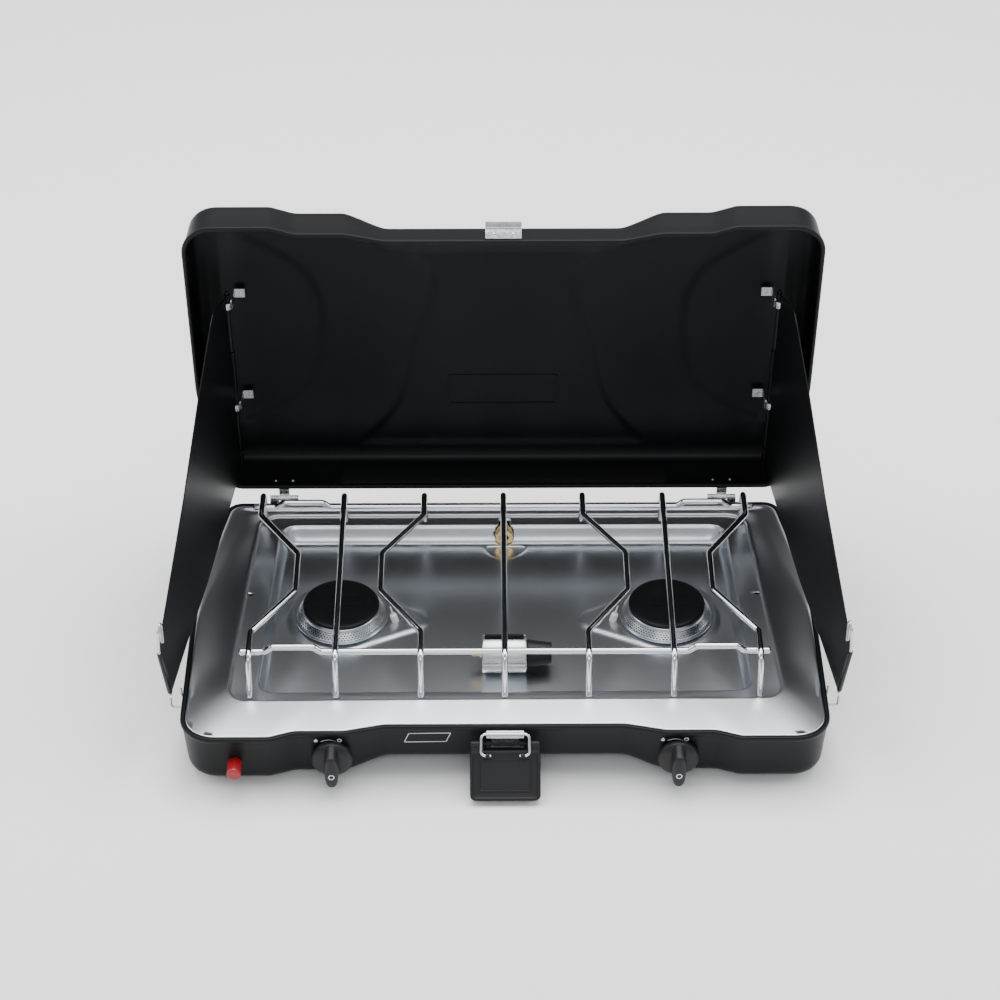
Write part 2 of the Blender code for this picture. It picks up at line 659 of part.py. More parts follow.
def latch():
    """Bracket with its cross pin, the black lever on it, and the wire bail in the lever's eyes."""
    wall = FRONT_Y + CENTRE_SETBACK - GAP
    low, high = (-17.0, wall - 1.4, HANDLE_Z - 8.0), (17.0, wall, HANDLE_Z + 11.0)
    bracket = box("latch_bracket", low, high, zinc())
    pin = lathe("pin", (-24.0, HANDLE_Y - 1.6, HANDLE_Z), (1, 0, 0), [(0, 1.3), (48.0, 1.3)], zinc(), 12)
    join_or_cut(bracket, pin, "UNION")
    for x0 in (-16.0, 12.0):
        low, high = (x0, HANDLE_Y - 3.6, HANDLE_Z - 2.4), (x0 + 4.0, wall - 0.5, HANDLE_Z + 2.4)
        lug = box("lug", low, high, zinc())
        join_or_cut(bracket, lug, "UNION")
    rings = []
    for out, trim in ((-3.0, 0.8), (-2.2, 0.0), (2.2, 0.0), (3.0, 0.8)):
        half = HANDLE_HALF - trim
        ring = [(-half, 5 + trim), (half, 5 + trim), (half, 45 - trim), (half - 3, 48 - trim),
                (3 - half, 48 - trim), (-half, 45 - trim)]
        rings.append([handle_point(x, d, out) for x, d in ring])
    handle = loft("latch_handle", rings, black_plastic())
    for x0 in (-29.4, 18.4):
        ear = lathe("ear", (x0, HANDLE_Y - 1.6, HANDLE_Z), (1, 0, 0), [
            (0, 3.2), (11.0, 3.2), (11.0, 1.8), (0, 1.8)], black_plastic(), 16, hollow=True)
        section = ((2.4, -1.7), (2.4, 1.7), (7.5, 1.7), (7.5, -1.7))
        rings = [[handle_point(x, d, o) for d, o in section] for x in (x0 + 0.3, x0 + 10.7)]
        web = loft("web", rings, black_plastic())
        join_or_cut(ear, web, "UNION")
        join_or_cut(handle, ear, "UNION")
    pivot = bail_seat()
    for x0 in (-17.0, 13.0):
        eye = lathe("eye", (x0, pivot[1], pivot[2]), (1, 0, 0), [
            (0, 2.6), (4.0, 2.6), (4.0, 1.6), (0, 1.6)], black_plastic(), 12, hollow=True)
        join_or_cut(handle, eye, "UNION")
    foot, top = (pivot[1], pivot[2]), (BAIL_TOP_Y, BAIL_TOP_Z)
    wire("latch_bail", [
        (-12.0, *foot), (-BAIL_HALF, *foot), (-BAIL_HALF, *top), (BAIL_HALF, *top), (BAIL_HALF, *foot),
        (12.0, *foot),
    ], 1.2, chrome(), bend=3.5, sides=6, steps=2)


# ---------------------------------------------------------------- regulator stowed in the tray
def regulator():
    radius = 17.0
    axis_z = RIM_Z - FLOOR_DROP + GAP + radius
    left, y = -19.5, -52.0
    profile = [(0, radius - 1.0), (1.0, radius), (37.8, radius), (38.8, radius - 1.0)]
    lathe("regulator_body", (left, y, axis_z), (1, 0, 0), profile, aluminium(), 24)
    lathe("regulator_cap", (left + profile[-1][0] + GAP, y, axis_z), (1, 0, 0), [
        (0, 12.5), (20.5, 10.0), (21.5, 8.5)], black_plastic(), 24)
    lathe("regulator_nipple", (left - GAP, y, axis_z), (-1, 0, 0), [
        (0, 3.6), (3.0, 3.6), (3.0, 2.2), (8.5, 1.9)], brass(), 12)


# ---------------------------------------------------------------- origins of the moving pieces
def seat(point, *names):
    """Moves each named piece's origin to point, in mm, with its mesh left in place."""
    x, y, z = point
    spot = Vector((x, y + PLAN_Y, z)) * MM
    for name in names:
        piece = bpy.data.objects[name]
        piece.data.transform(Matrix.Translation(-spot))
        piece.location = spot


def seat_moving_pieces():
    """Puts the origin of every moving piece on its joint's axis."""
    seat((0, AXIS_Y, AXIS_Z), "lid_shell", "hinge_lid_left", "hinge_lid_right", "strike_plate")
    for side, tag in ((-1, "left"), (1, "right")):
        for number in (1, 2):
            seat((0, AXIS_Y, AXIS_Z), "wing_clip_%s_%d" % (tag, number))
        rod = lid_point(side * WING_X, 0, WING_N)
        seat(rod, "wing_rod_" + tag, "wing_panel_" + tag, "wing_pull_" + tag)
        seat((side * KNOB_X, KNOB_Y, KNOB_Z), "knob_" + tag, "valve_stem_" + tag)
    seat((BUTTON_X, BUTTON_Y, BUTTON_Z), "igniter_button")
    seat((0, HANDLE_Y - 1.6, HANDLE_Z), "latch_handle")
    seat(bail_seat(), "latch_bail")
    for number in range(7):
        seat((0, 0, GRATE_Z), "grate_wire_%d" % (number + 1))
    seat((0, 0, GRATE_Z), "grate_bar_front", "grate_bar_rear")


base_shell()
top_tray()
feet()
burners()
gas_line()
knobs()
igniter()
grate()
lid_shell()
hinges()
wings()
strike_plate()
latch()
regulator()
seat_moving_pieces()
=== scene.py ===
import json
import math

import bmesh
import bpy
from mathutils import Matrix, Vector


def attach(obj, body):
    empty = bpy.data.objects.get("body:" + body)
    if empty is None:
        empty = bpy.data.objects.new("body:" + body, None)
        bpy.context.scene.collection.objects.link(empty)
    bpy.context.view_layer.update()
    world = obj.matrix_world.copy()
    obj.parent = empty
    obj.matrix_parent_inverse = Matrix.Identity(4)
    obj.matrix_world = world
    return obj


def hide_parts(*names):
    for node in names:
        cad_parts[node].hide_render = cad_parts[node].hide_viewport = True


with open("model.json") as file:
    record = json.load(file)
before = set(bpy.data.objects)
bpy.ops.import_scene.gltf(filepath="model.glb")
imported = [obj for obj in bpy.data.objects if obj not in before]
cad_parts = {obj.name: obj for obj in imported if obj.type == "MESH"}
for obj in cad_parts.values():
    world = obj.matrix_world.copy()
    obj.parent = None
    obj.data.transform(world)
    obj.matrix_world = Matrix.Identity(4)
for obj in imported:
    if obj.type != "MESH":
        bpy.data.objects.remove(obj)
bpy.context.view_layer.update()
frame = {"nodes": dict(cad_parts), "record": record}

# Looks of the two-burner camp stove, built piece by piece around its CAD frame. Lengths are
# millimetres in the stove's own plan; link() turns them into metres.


# ================================================================ case
# Pressed black painted sheet of the base: steep walls, a rolled lip at the rim and a rounded foot
# line. A loft of many plan outlines, the front edge stepped back twice towards the middle.
def grain_group():
    group = bpy.data.node_groups.new("grain", "ShaderNodeTree")
    face = group.interface
    face.new_socket(name="Vector", in_out="INPUT", socket_type="NodeSocketVector")
    for title in ("Scale", "Detail", "Strength", "Height"):
        face.new_socket(name=title, in_out="INPUT", socket_type="NodeSocketFloat")
    face.new_socket(name="Mask", in_out="OUTPUT", socket_type="NodeSocketFloat")
    face.new_socket(name="Normal", in_out="OUTPUT", socket_type="NodeSocketVector")
    nodes, links = group.nodes, group.links
    start, end = nodes.new("NodeGroupInput"), nodes.new("NodeGroupOutput")
    cloud = nodes.new("ShaderNodeTexNoise")
    relief = nodes.new("ShaderNodeBump")
    links.new(start.outputs["Vector"], cloud.inputs["Vector"])
    links.new(start.outputs["Scale"], cloud.inputs["Scale"])
    links.new(start.outputs["Detail"], cloud.inputs["Detail"])
    links.new(start.outputs["Strength"], relief.inputs["Strength"])
    links.new(start.outputs["Height"], relief.inputs["Distance"])
    links.new(cloud.outputs["Fac"], relief.inputs["Height"])
    links.new(cloud.outputs["Fac"], end.inputs["Mask"])
    links.new(relief.outputs["Normal"], end.inputs["Normal"])
    return group


GRAIN = grain_group()
FINISHES = {}


def finish(name, colour, rough, metal=0.0, scale=600.0, stretch=(1, 1, 1), swing=0.05, bump=0.15,
           height=0.00004, tone=0.85, broad=14.0, sheen=0.5):
    """Material with fine grain in roughness and normal, and a broad drift in tone."""
    made = bpy.data.materials.new(name + "_look")
    made.use_nodes = True
    nodes, links = made.node_tree.nodes, made.node_tree.links
    shader = nodes["Principled BSDF"]
    shader.inputs["Metallic"].default_value = metal
    shader.inputs["Specular IOR Level"].default_value = sheen
    place, turned = nodes.new("ShaderNodeTexCoord"), nodes.new("ShaderNodeMapping")
    turned.inputs["Scale"].default_value = stretch
    links.new(place.outputs["Object"], turned.inputs["Vector"])
    fine, drift = nodes.new("ShaderNodeGroup"), nodes.new("ShaderNodeGroup")
    for node, size, detail in ((fine, scale, 4.0), (drift, broad, 2.0)):
        node.node_tree = GRAIN
        node.inputs["Scale"].default_value = size
        node.inputs["Detail"].default_value = detail
        node.inputs["Strength"].default_value = bump
        node.inputs["Height"].default_value = height
    links.new(turned.outputs["Vector"], fine.inputs["Vector"])
    links.new(place.outputs["Object"], drift.inputs["Vector"])
    spread = nodes.new("ShaderNodeMapRange")
    ends = {"From Min": 0.3, "From Max": 0.7, "To Min": rough - swing, "To Max": rough + swing}
    for title, value in ends.items():
        spread.inputs[title].default_value = value
    blend = nodes.new("ShaderNodeMix")
    blend.data_type = "RGBA"
    blend.inputs[6].default_value = (*[c * tone for c in colour], 1.0)
    blend.inputs[7].default_value = (*colour, 1.0)
    links.new(fine.outputs["Mask"], spread.inputs["Value"])
    links.new(drift.outputs["Mask"], blend.inputs[0])
    links.new(spread.outputs["Result"], shader.inputs["Roughness"])
    links.new(blend.outputs[2], shader.inputs["Base Color"])
    links.new(fine.outputs["Normal"], shader.inputs["Normal"])
    FINISHES[name] = made
    return made


BLACK_PAINT = finish("black_paint", (0.0045, 0.0048, 0.0056), 0.40, scale=1100.0, swing=0.03, bump=0.12,
                     sheen=0.17)
MM = 0.001
PLAN_SHIFT = -8.0
RIM = 56.0
SLOTS = {entry["node"]: entry["material_slot"] for entry in frame["record"]["subparts"]}
FRONT, REAR = -163.3, 161.0
TAPER = 40.0
STEPS_AT = (102.0, 136.0, 178.0, 199.0)
MIDDLE_WALL, KNOB_WALL = FRONT + 15.5, FRONT + 7.5
DEEP = 52.0
ACROSS, ALONG = 156, 84


def link(name, made, finish_of, body, nodes=(), sharp=38.0):
    """Shown piece from a bmesh in plan millimetres: welded, normals out, smooth but for sharp edges."""
    for vert in made.verts:
        vert.co = (vert.co.x * MM, (vert.co.y + PLAN_SHIFT) * MM, vert.co.z * MM)
    bmesh.ops.remove_doubles(made, verts=made.verts, dist=2e-7)
    bmesh.ops.dissolve_degenerate(made, edges=made.edges, dist=1e-7)
    bmesh.ops.recalc_face_normals(made, faces=made.faces)
    mesh = bpy.data.meshes.new(name)
    made.to_mesh(mesh)
    made.free()
    mesh.shade_smooth()
    mesh.set_sharp_from_angle(angle=math.radians(sharp))
    mesh.materials.append(finish_of)
    piece = bpy.data.objects.new(name, mesh)
    bpy.context.scene.collection.objects.link(piece)
    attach(piece, body)
    if nodes:
        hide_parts(*nodes)
    return piece


def rounded(corners, inset=0.0, steps=8):
    """Counter-clockwise outline moved inward by inset, with each corner rounded by its own radius."""
    lines = []
    for k, corner in enumerate(corners):
        a, b = Vector(corner[:2]), Vector(corners[(k + 1) % len(corners)][:2])
        ahead = (b - a).normalized()
        lines.append((a + Vector((-ahead.y, ahead.x)) * inset, ahead))
    outline = []
    for k, corner in enumerate(corners):
        (p, d), (q, e) = lines[k - 1], lines[k]
        cross = d.x * e.y - d.y * e.x
        if abs(cross) < 0.02:
            outline.append(tuple(q))
            continue
        spot = p + d * (((q - p).x * e.y - (q - p).y * e.x) / cross)
        turn = math.asin(max(-1.0, min(1.0, cross)))
        size = max(0.8, corner[2] - inset if turn > 0 else corner[2] + inset)
        start = spot - d * size * math.tan(abs(turn) / 2)
        middle = start + Vector((-d.y, d.x)) * math.copysign(size, turn)
        arm = start - middle
        for m in range(steps + 1):
            c, s = math.cos(turn * m / steps), math.sin(turn * m / steps)
            outline.append(tuple(middle + Vector((arm.x * c - arm.y * s, arm.x * s + arm.y * c))))
    return outline


def resample(points, count):
    """The polyline's points at count even steps, without its last point."""
    lengths = [0.0]
    for a, b in zip(points, points[1:]):
        lengths.append(lengths[-1] + math.dist(a, b))
    spread, k = [], 0
    for step in range(count):
        want = lengths[-1] * step / count
        while lengths[k + 1] < want:
            k += 1
        mix = (want - lengths[k]) / max(1e-9, lengths[k + 1] - lengths[k])
        spread.append(tuple(a + (b - a) * mix for a, b in zip(points[k], points[k + 1])))
    return spread


def plan_ring(corners, inset=0.0):
    """Outline read at even steps between its four outer corners, so that rings match point for point."""
    line = rounded(corners, inset)
    picks = []
    for sx, sy in ((-1, -1), (1, -1), (1, 1), (-1, 1)):
        picks.append(max(range(len(line)), key=lambda k: sx * line[k][0] * 0.6 + sy * line[k][1]))
    ring = []
    for side in range(4):
        first, last = picks[side], picks[(side + 1) % 4]
        if last < first:
            last += len(line)
        stretch = [line[k % len(line)] for k in range(first, last + 1)]
        ring += resample(stretch, ALONG if side % 2 else ACROSS)
    return ring


def mirrored(right):
    return right + [(-x, y, r) for x, y, r in reversed(right)]


BODY = mirrored([
    (STEPS_AT[0], MIDDLE_WALL, 22.0), (STEPS_AT[1], KNOB_WALL, 22.0), (STEPS_AT[2], KNOB_WALL, 16.0),
    (STEPS_AT[3], FRONT, 16.0), (276.3, FRONT, 30.0), (276.3, TAPER, 160.0), (254.3, REAR, 16.0),
])


def smooth(low, high, value):
    mix = min(1.0, max(0.0, (value - low) / (high - low)))
    return mix * mix * (3.0 - 2.0 * mix)


def bow(a, b, c, count):
    """Rows along a quadratic curve from a to c, drawn towards b."""
    rows = []
    for k in range(count + 1):
        t = k / count
        weights = ((1 - t) ** 2, 2 * t * (1 - t), t * t)
        rows.append(tuple(sum(w * p[n] for w, p in zip(weights, (a, b, c))) for n in range(len(a))))
    return rows


def pan_profile(thick):
    """Section of a stamped pan, outside then inside: inset, height, share of the raised front centre,
    pull of that centre to the rear."""
    outside = bow((20.0, -DEEP, 0.0, 16.0), (4.5, -DEEP, 0.9, 2.0), (4.0, -37.0, 0.9, 0.0), 8)
    outside += [(2.8, -22.0, 0.4, 0.0), (1.3, -6.0, 0.0, 0.0)]
    outside += bow((1.0, -4.4, 0.0, 0.0), (-0.2, -3.4, 0.0, 0.0), (-0.2, -1.6, 0.0, 0.0), 3)
    outside += bow((-0.2, -1.2, 0.0, 0.0), (-0.2, 0.6, 0.0, 0.0), (1.3, 0.6, 0.0, 0.0), 4)[1:]
    inside = bow((2.3, 0.6, 0.0, 0.0), (3.9, 0.6, 0.0, 0.0), (3.9, -1.6, 0.0, 0.0), 3)
    inside += [(1.4 + thick, -6.0, 0.0, 0.0), (2.8 + thick, -22.0, 0.4, 0.0)]
    inside += bow((4.0 + thick, -37.0, 0.9, 0.0), (4.7 + thick, -DEEP + thick, 0.9, 2.0),
                  (20.0 + thick, -DEEP + thick, 0.0, 16.0), 8)
    return outside + inside


def centre_share(x, y):
    across = 1.0 - smooth(STEPS_AT[0] - 6.0, STEPS_AT[1] + 4.0, abs(x))
    return across if y < FRONT + 42.0 else 0.0


def pan_rings(profile, lift, extra=0.0, pull=1.0):
    rings = []
    for inset, height, raised, pulled in profile:
        ring = []
        for x, y in plan_ring(BODY, inset + extra):
            share = centre_share(x, y)
            ring.append((x, y + share * pulled * pull, height + share * raised * lift))
        rings.append(ring)
    return rings


def skin(rings, first_cap=True, last_cap=True):
    """Loft of rings of equal length: the first is extruded and moved on to each next, the ends flat."""
    made = bmesh.new()
    loop = [made.verts.new(p) for p in rings[0]]
    edges = [made.edges.new(pair) for pair in zip(loop, loop[1:] + loop[:1])]
    if first_cap:
        made.faces.new(loop)
    for ring in rings[1:]:
        grown = bmesh.ops.extrude_edge_only(made, edges=edges)["geom"]
        loop = [part for part in grown if isinstance(part, bmesh.types.BMVert)]
        edges = [part for part in grown if isinstance(part, bmesh.types.BMEdge)]
        for vert, place in zip(loop, ring):
            vert.co = place
    if last_cap:
        made.faces.new(loop)
    return made


case_rings = [[(x, y, RIM + z) for x, y, z in ring] for ring in pan_rings(pan_profile(0.9), 8.0)]
link("case", skin(case_rings), BLACK_PAINT, "base", ["base_shell"])


# ================================================================ tray
# Bright pressed tray: lapped edge, dished margin, ledge for the grate, sunken floor with the burner
# platforms, two oval slots and the round-topped opening for the gas fitting.
STEEL = finish("brushed_stainless", (0.58, 0.61, 0.645), 0.29, 1.0, scale=3600.0, stretch=(0.03, 1, 1),
               swing=0.015, bump=0.005, height=0.000004, tone=0.97)
BURNER_X, BURNER_Y = 145.0, 17.0
SHEET = 0.8


def recess(front_x, side_x, rear_x, front_y, rear_y, radius):
    return mirrored([(front_x, front_y, radius), (side_x, TAPER, 160.0), (rear_x, rear_y, radius)])


def patch(made, base, relief):
    """Fills the ring that starts at vertex base with a grid, moved by relief(x, y)."""
    total = 2 * (ACROSS + ALONG)
    verts = list(made.verts)

    def on_ring(i, j):
        if j == 0:
            return verts[base + i]
        if i == ACROSS:
            return verts[base + ACROSS + j]
        if j == ALONG:
            return verts[base + ACROSS + ALONG + ACROSS - i]
        return verts[base + (total - j) % total]

    grid = {}
    corner = [on_ring(i, j).co for i, j in ((0, 0), (ACROSS, 0), (0, ALONG), (ACROSS, ALONG))]
    for i in range(ACROSS + 1):
        for j in range(ALONG + 1):
            if i in (0, ACROSS) or j in (0, ALONG):
                grid[i, j] = on_ring(i, j)
                continue
            u, v = i / ACROSS, j / ALONG
            weights = ((1 - u) * (1 - v), u * (1 - v), (1 - u) * v, u * v)
            spot = on_ring(i, 0).co * (1 - v) + on_ring(i, ALONG).co * v
            spot += on_ring(0, j).co * (1 - u) + on_ring(ACROSS, j).co * u
            for weight, place in zip(weights, corner):
                spot -= place * weight
            grid[i, j] = made.verts.new((spot.x, spot.y, spot.z + relief(spot.x, spot.y)))
    for i in range(ACROSS):
        for j in range(ALONG):
            made.faces.new((grid[i, j], grid[i + 1, j], grid[i + 1, j + 1], grid[i, j + 1]))


def teardrop(x, y):
    """Distance outside a burner's teardrop platform, negative inside."""
    dx, dy = BURNER_X - abs(x), y - BURNER_Y
    along = min(1.0, max(0.0, (dx - 6.0) / 58.0))
    return math.hypot(dx - along * 62.0, dy + along * 4.0) - (46.0 - 32.0 * along)


def tray_relief(x, y):
    lifted = 1.5 * (1.0 - smooth(-2.0, 2.5, teardrop(x, y)))
    dimple = math.hypot(x - 1.8, y - 122.0) - 19.0
    return lifted - 2.4 * (1.0 - smooth(-3.0, 2.0, dimple))


def tray_rings():
    outer = plan_ring(recess(239.0, 231.0, 223.5, -113.4, 145.0, 18.0))
    outer_foot = plan_ring(recess(237.2, 229.2, 221.8, -111.8, 143.4, 17.0))
    inner = plan_ring(recess(213.0, 208.0, 205.0, -98.0, 131.0, 16.0))
    floor = plan_ring(recess(207.5, 202.5, 197.5, -92.0, 121.0, 13.0))
    rings = []

    def add(ring, z):
        rings.append([(x, y, RIM + z) for x, y in ring])

    def between(a, b, rows):
        for t, z in rows:
            add([(p[0] + (q[0] - p[0]) * t, p[1] + (q[1] - p[1]) * t) for p, q in zip(a, b)], z)

    for inset, z in bow((4.0, -2.0), (4.0, 0.3), (5.4, 0.2), 4):
        add(plan_ring(BODY, inset), z)
    margin = plan_ring(BODY, 6.6)
    for t in (0.0, 0.1, 0.22, 0.36, 0.5, 0.64, 0.78, 0.9, 0.97):
        ring = []
        for p, q in zip(margin, outer):
            x, y = p[0] + (q[0] - p[0]) * t, p[1] + (q[1] - p[1]) * t
            front = 1.0 - smooth(-112.0, -60.0, y)
            dish = 0.2 - 2.4 * math.sin(math.pi * min(1.0, t * 1.03)) - 0.5 * t
            ring.append((x, y, RIM + front * (-1.1 + 2.6 * t) + (1.0 - front) * dish))
        rings.append(ring)
    rows = bow((0.0, 0.0), (0.7, 0.0), (1.0, 1.0), 4)
    for t, fall in rows:
        ring = []
        for p, q in zip(outer, outer_foot):
            x, y = p[0] + (q[0] - p[0]) * t, p[1] + (q[1] - p[1]) * t
            crest = -0.3 + 1.8 * (1.0 - smooth(-112.0, -60.0, y))
            ring.append((x, y, RIM + crest + (-1.6 - crest) * fall))
        rings.append(ring)
    between(outer_foot, inner, bow((0.0, -2.0), (0.0, -3.0), (0.06, -3.0), 3) + [(0.5, -3.05)])
    between(outer_foot, inner, bow((0.90, -3.05), (1.0, -3.05), (1.0, -3.9), 3))
    between(inner, floor, bow((0.12, -4.8), (0.62, -17.8), (1.25, -18.0), 10))
    return rings


tray_top = tray_rings()
tray_under = [[(x, y, z - SHEET) for x, y, z in ring] for ring in tray_top]
sheet = skin(list(reversed(tray_under)) + tray_top, last_cap=False)
patch(sheet, len(sheet.verts) - len(tray_top[0]), tray_relief)
tray = link("tray", sheet, STEEL, "base", ["top_tray"], sharp=50.0)


def frame_of(axis):
    side = Vector((1, 0, 0)) if abs(axis.x) < 0.9 else Vector((0, 1, 0))
    first = axis.cross(side).normalized()
    return first, axis.cross(first)


def turned(start, axis, profile, sides=56, hollow=False):
    """Turned body: rows of distance along the axis and radius, spun. A hollow one's rows join up."""
    axis = Vector(axis).normalized()
    first = frame_of(axis)[0]
    made = bmesh.new()
    section = [made.verts.new(Vector(start) + axis * along + first * radius) for along, radius in profile]
    pairs = list(zip(section, section[1:]))
    if hollow:
        pairs.append((section[-1], section[0]))
    edges = [made.edges.new(pair) for pair in pairs]
    bmesh.ops.spin(made, geom=section + edges, cent=start, axis=axis, dvec=(0, 0, 0), angle=math.tau,
                   steps=sides, use_merge=True, use_duplicate=False)
    if not hollow:
        bmesh.ops.holes_fill(made, edges=made.edges[:], sides=0)
    return made


def cut(piece, start, axis, length, radius, stretch=(1.0, 1.0)):
    """Drills a round or oval hole through a piece."""
    bit = turned(start, axis, [(0, radius), (length, radius)], 40)
    bmesh.ops.scale(bit, vec=(stretch[0], 1.0, stretch[1]), verts=bit.verts,
                    space=Matrix.Translation(-Vector(start)))
    drill = link("drill", bit, piece.data.materials[0], "base")
    step = piece.modifiers.new("step", "BOOLEAN")
    step.object = drill
    step.operation = "DIFFERENCE"
    step.solver = "EXACT"
    shaped = bpy.data.meshes.new_from_object(piece.evaluated_get(bpy.context.evaluated_depsgraph_get()))
    piece.modifiers.clear()
    piece.data = shaped
    bpy.data.objects.remove(drill, do_unlink=True)


cut(tray, (0.8, 138.0, RIM - 10.0), (0, -1, 0), 22.0, 8.6)
for side in (-1, 1):
    cut(tray, (side * 226.5, 32.0, RIM - 8.0), (0, 0, 1), 9.0, 1.5, (2.0, 1.0))


# ================================================================ burners
# Each burner: bright dished bowl with a rolled rim, a band punched with rows of real small holes,
# and a black enamel cap with a plain raised frame. A pin electrode stands beside it.
CERAMIC = finish("white_ceramic", (0.78, 0.76, 0.70), 0.30, scale=700.0, bump=0.1)
FLOOR = RIM - 18.0


def punched_band(name, centre, rows, columns, body, nodes):
    """Two-sided band of square cells, each with an eight-sided hole; rows are (radius, height)."""
    made = bmesh.new()
    corners = [(-1, -1), (0, -1), (1, -1), (1, 0), (1, 1), (0, 1), (-1, 1), (-1, 0)]
    thick, hole = 0.5, 0.30

    def on_band(u, v, depth):
        mix = v / (len(rows) - 1)
        radius = rows[0][0] + (rows[-1][0] - rows[0][0]) * mix - depth
        height = rows[0][1] + (rows[-1][1] - rows[0][1]) * mix - depth * 0.35
        angle = math.tau * u / columns
        return (centre[0] + radius * math.cos(angle), centre[1] + radius * math.sin(angle), height)

    for j in range(len(rows) - 1):
        shift = 0.5 if j % 2 else 0.0
        loops = []
        for depth in (0.0, thick):
            for reach in (lambda cx, cy: 0.5, lambda cx, cy: hole / math.hypot(cx, cy)):
                spots = [on_band(0.5 + cx * reach(cx, cy) + shift, j + 0.5 + cy * reach(cx, cy), depth)
                         for cx, cy in corners]
                loops.append([made.verts.new(spot) for spot in spots])
        for near, far in ((loops[0], loops[1]), (loops[3], loops[2]), (loops[1], loops[3])):
            for k in range(8):
                m = (k + 1) % 8
                made.faces.new((near[k], near[m], far[m], far[k]))
    bmesh.ops.spin(made, geom=made.verts[:] + made.edges[:] + made.faces[:], cent=centre, axis=(0, 0, 1),
                   dvec=(0, 0, 0), angle=math.tau * (columns - 1) / columns, steps=columns - 1,
                   use_merge=False, use_duplicate=True)
    return link(name, made, STEEL, body, nodes, sharp=50.0)


def around(corners, inset=0.0, count=96):
    """Closed outline of rounded corners, read at even steps."""
    line = rounded(corners, inset)
    return resample(line + line[:1], count)


def plate_frame(half_x, half_y, wide, high):
    """Rings of a raised rounded frame."""
    corners = [(-half_x, -half_y, 2.0), (half_x, -half_y, 2.0), (half_x, half_y, 2.0),
               (-half_x, half_y, 2.0)]
    rings = []
    for inset, lift in ((0.0, -0.3), (0.25, high), (wide - 0.25, high), (wide, -0.3)):
        rings.append([(x, y, lift) for x, y in around(corners, inset)])
    return rings


def closed(rings):
    """Loft that comes back to its first ring."""
    return skin(rings + rings[:1], False, False)


for side, tag in ((-1, "left"), (1, "right")):
    spot = (side * BURNER_X, BURNER_Y, 0.0)
    bowl = [(FLOOR - 6.0, 11.4), (FLOOR - 6.0, 14.4), (FLOOR + 0.4, 14.4), (FLOOR + 0.4, 33.0)]
    bowl += bow((FLOOR + 0.6, 35.0), (FLOOR + 3.6, 39.0), (FLOOR + 4.2, 41.0), 5)
    bowl += bow((FLOOR + 4.2, 41.4), (FLOOR + 4.9, 42.4), (FLOOR + 5.5, 41.4), 4)
    bowl += bow((FLOOR + 5.4, 40.6), (FLOOR + 4.6, 38.6), (FLOOR + 4.9, 36.0), 3) + [(FLOOR + 4.8, 11.4)]
    link("bowl_" + tag, turned(spot, (0, 0, 1), bowl, 96), STEEL, "base", ["burner_bowl_" + tag])
    top = RIM - 3.6
    rows = [(39.6 - 1.15 * k, FLOOR + 6.0 + 1.55 * k) for k in range(5)]
    punched_band("band_" + tag, spot, rows, 84, "base", ["burner_ring_" + tag])
    band_top = rows[-1][1]
    collar = [(band_top - 0.6, 34.0), (band_top - 0.2, 35.2), (top - 0.4, 34.6), (top + 0.2, 33.9),
              (top + 0.2, 32.0), (band_top - 0.6, 32.0)]
    link("collar_" + tag, turned(spot, (0, 0, 1), collar, 96), STEEL, "base")
    seat_rows = [(FLOOR + 5.0, 40.4), (FLOOR + 6.3, 40.2), (FLOOR + 6.4, 39.2), (FLOOR + 5.0, 38.4)]
    link("seat_" + tag, turned(spot, (0, 0, 1), seat_rows, 96), STEEL, "base")
    cap = [(top - 6.0, 28.5), (top - 1.2, 30.5), (top + 0.3, 31.4)]
    cap += bow((top + 0.3, 33.2), (top + 0.5, 34.1), (top + 1.8, 33.9), 4)
    cap += bow((top + 2.6, 33.2), (top + 3.3, 32.2), (top + 3.4, 28.0), 4)
    cap += [(top + 3.3, 20.0), (top + 3.0, 10.0), (top + 2.9, 0.5)]
    link("cap_" + tag, turned(spot, (0, 0, 1), cap, 96), BLACK_PAINT, "base", ["burner_cap_" + tag])
    rings = plate_frame(25.0, 7.5, 1.5, 0.45)
    rings = [[(spot[0] + x, spot[1] + 2.0 + y, top + 3.15 + z) for x, y, z in ring] for ring in rings]
    link("cap_frame_" + tag, closed(rings), BLACK_PAINT, "base")
    pin = (side * (BURNER_X - 48.0), 11.0, FLOOR + 1.4)
    lean = Vector((side * 0.25, 0.0, 1.0))
    insulator = [(0, 3.3)] + bow((7.0, 3.2), (8.2, 3.1), (8.3, 1.8), 3) + [(8.3, 0.9), (17.0, 0.7)]
    link("electrode_shown_" + tag, turned(pin, lean, insulator, 24), CERAMIC, "base",
         ["electrode_" + tag])


# ================================================================ grate
# Polished round wires: fore-and-aft runs that waist in round each burner, bent down to feet on the
# ledge, over two cross wires that step up under the outer pairs.
CHROME = finish("chrome_wire", (0.80, 0.81, 0.83), 0.09, 1.0, scale=300.0, swing=0.03, bump=0.04, tone=0.95)
WIRE, SHOWN_WIRE = 2.5, 2.75
GRATE = RIM + 35.0
GAP = 0.3


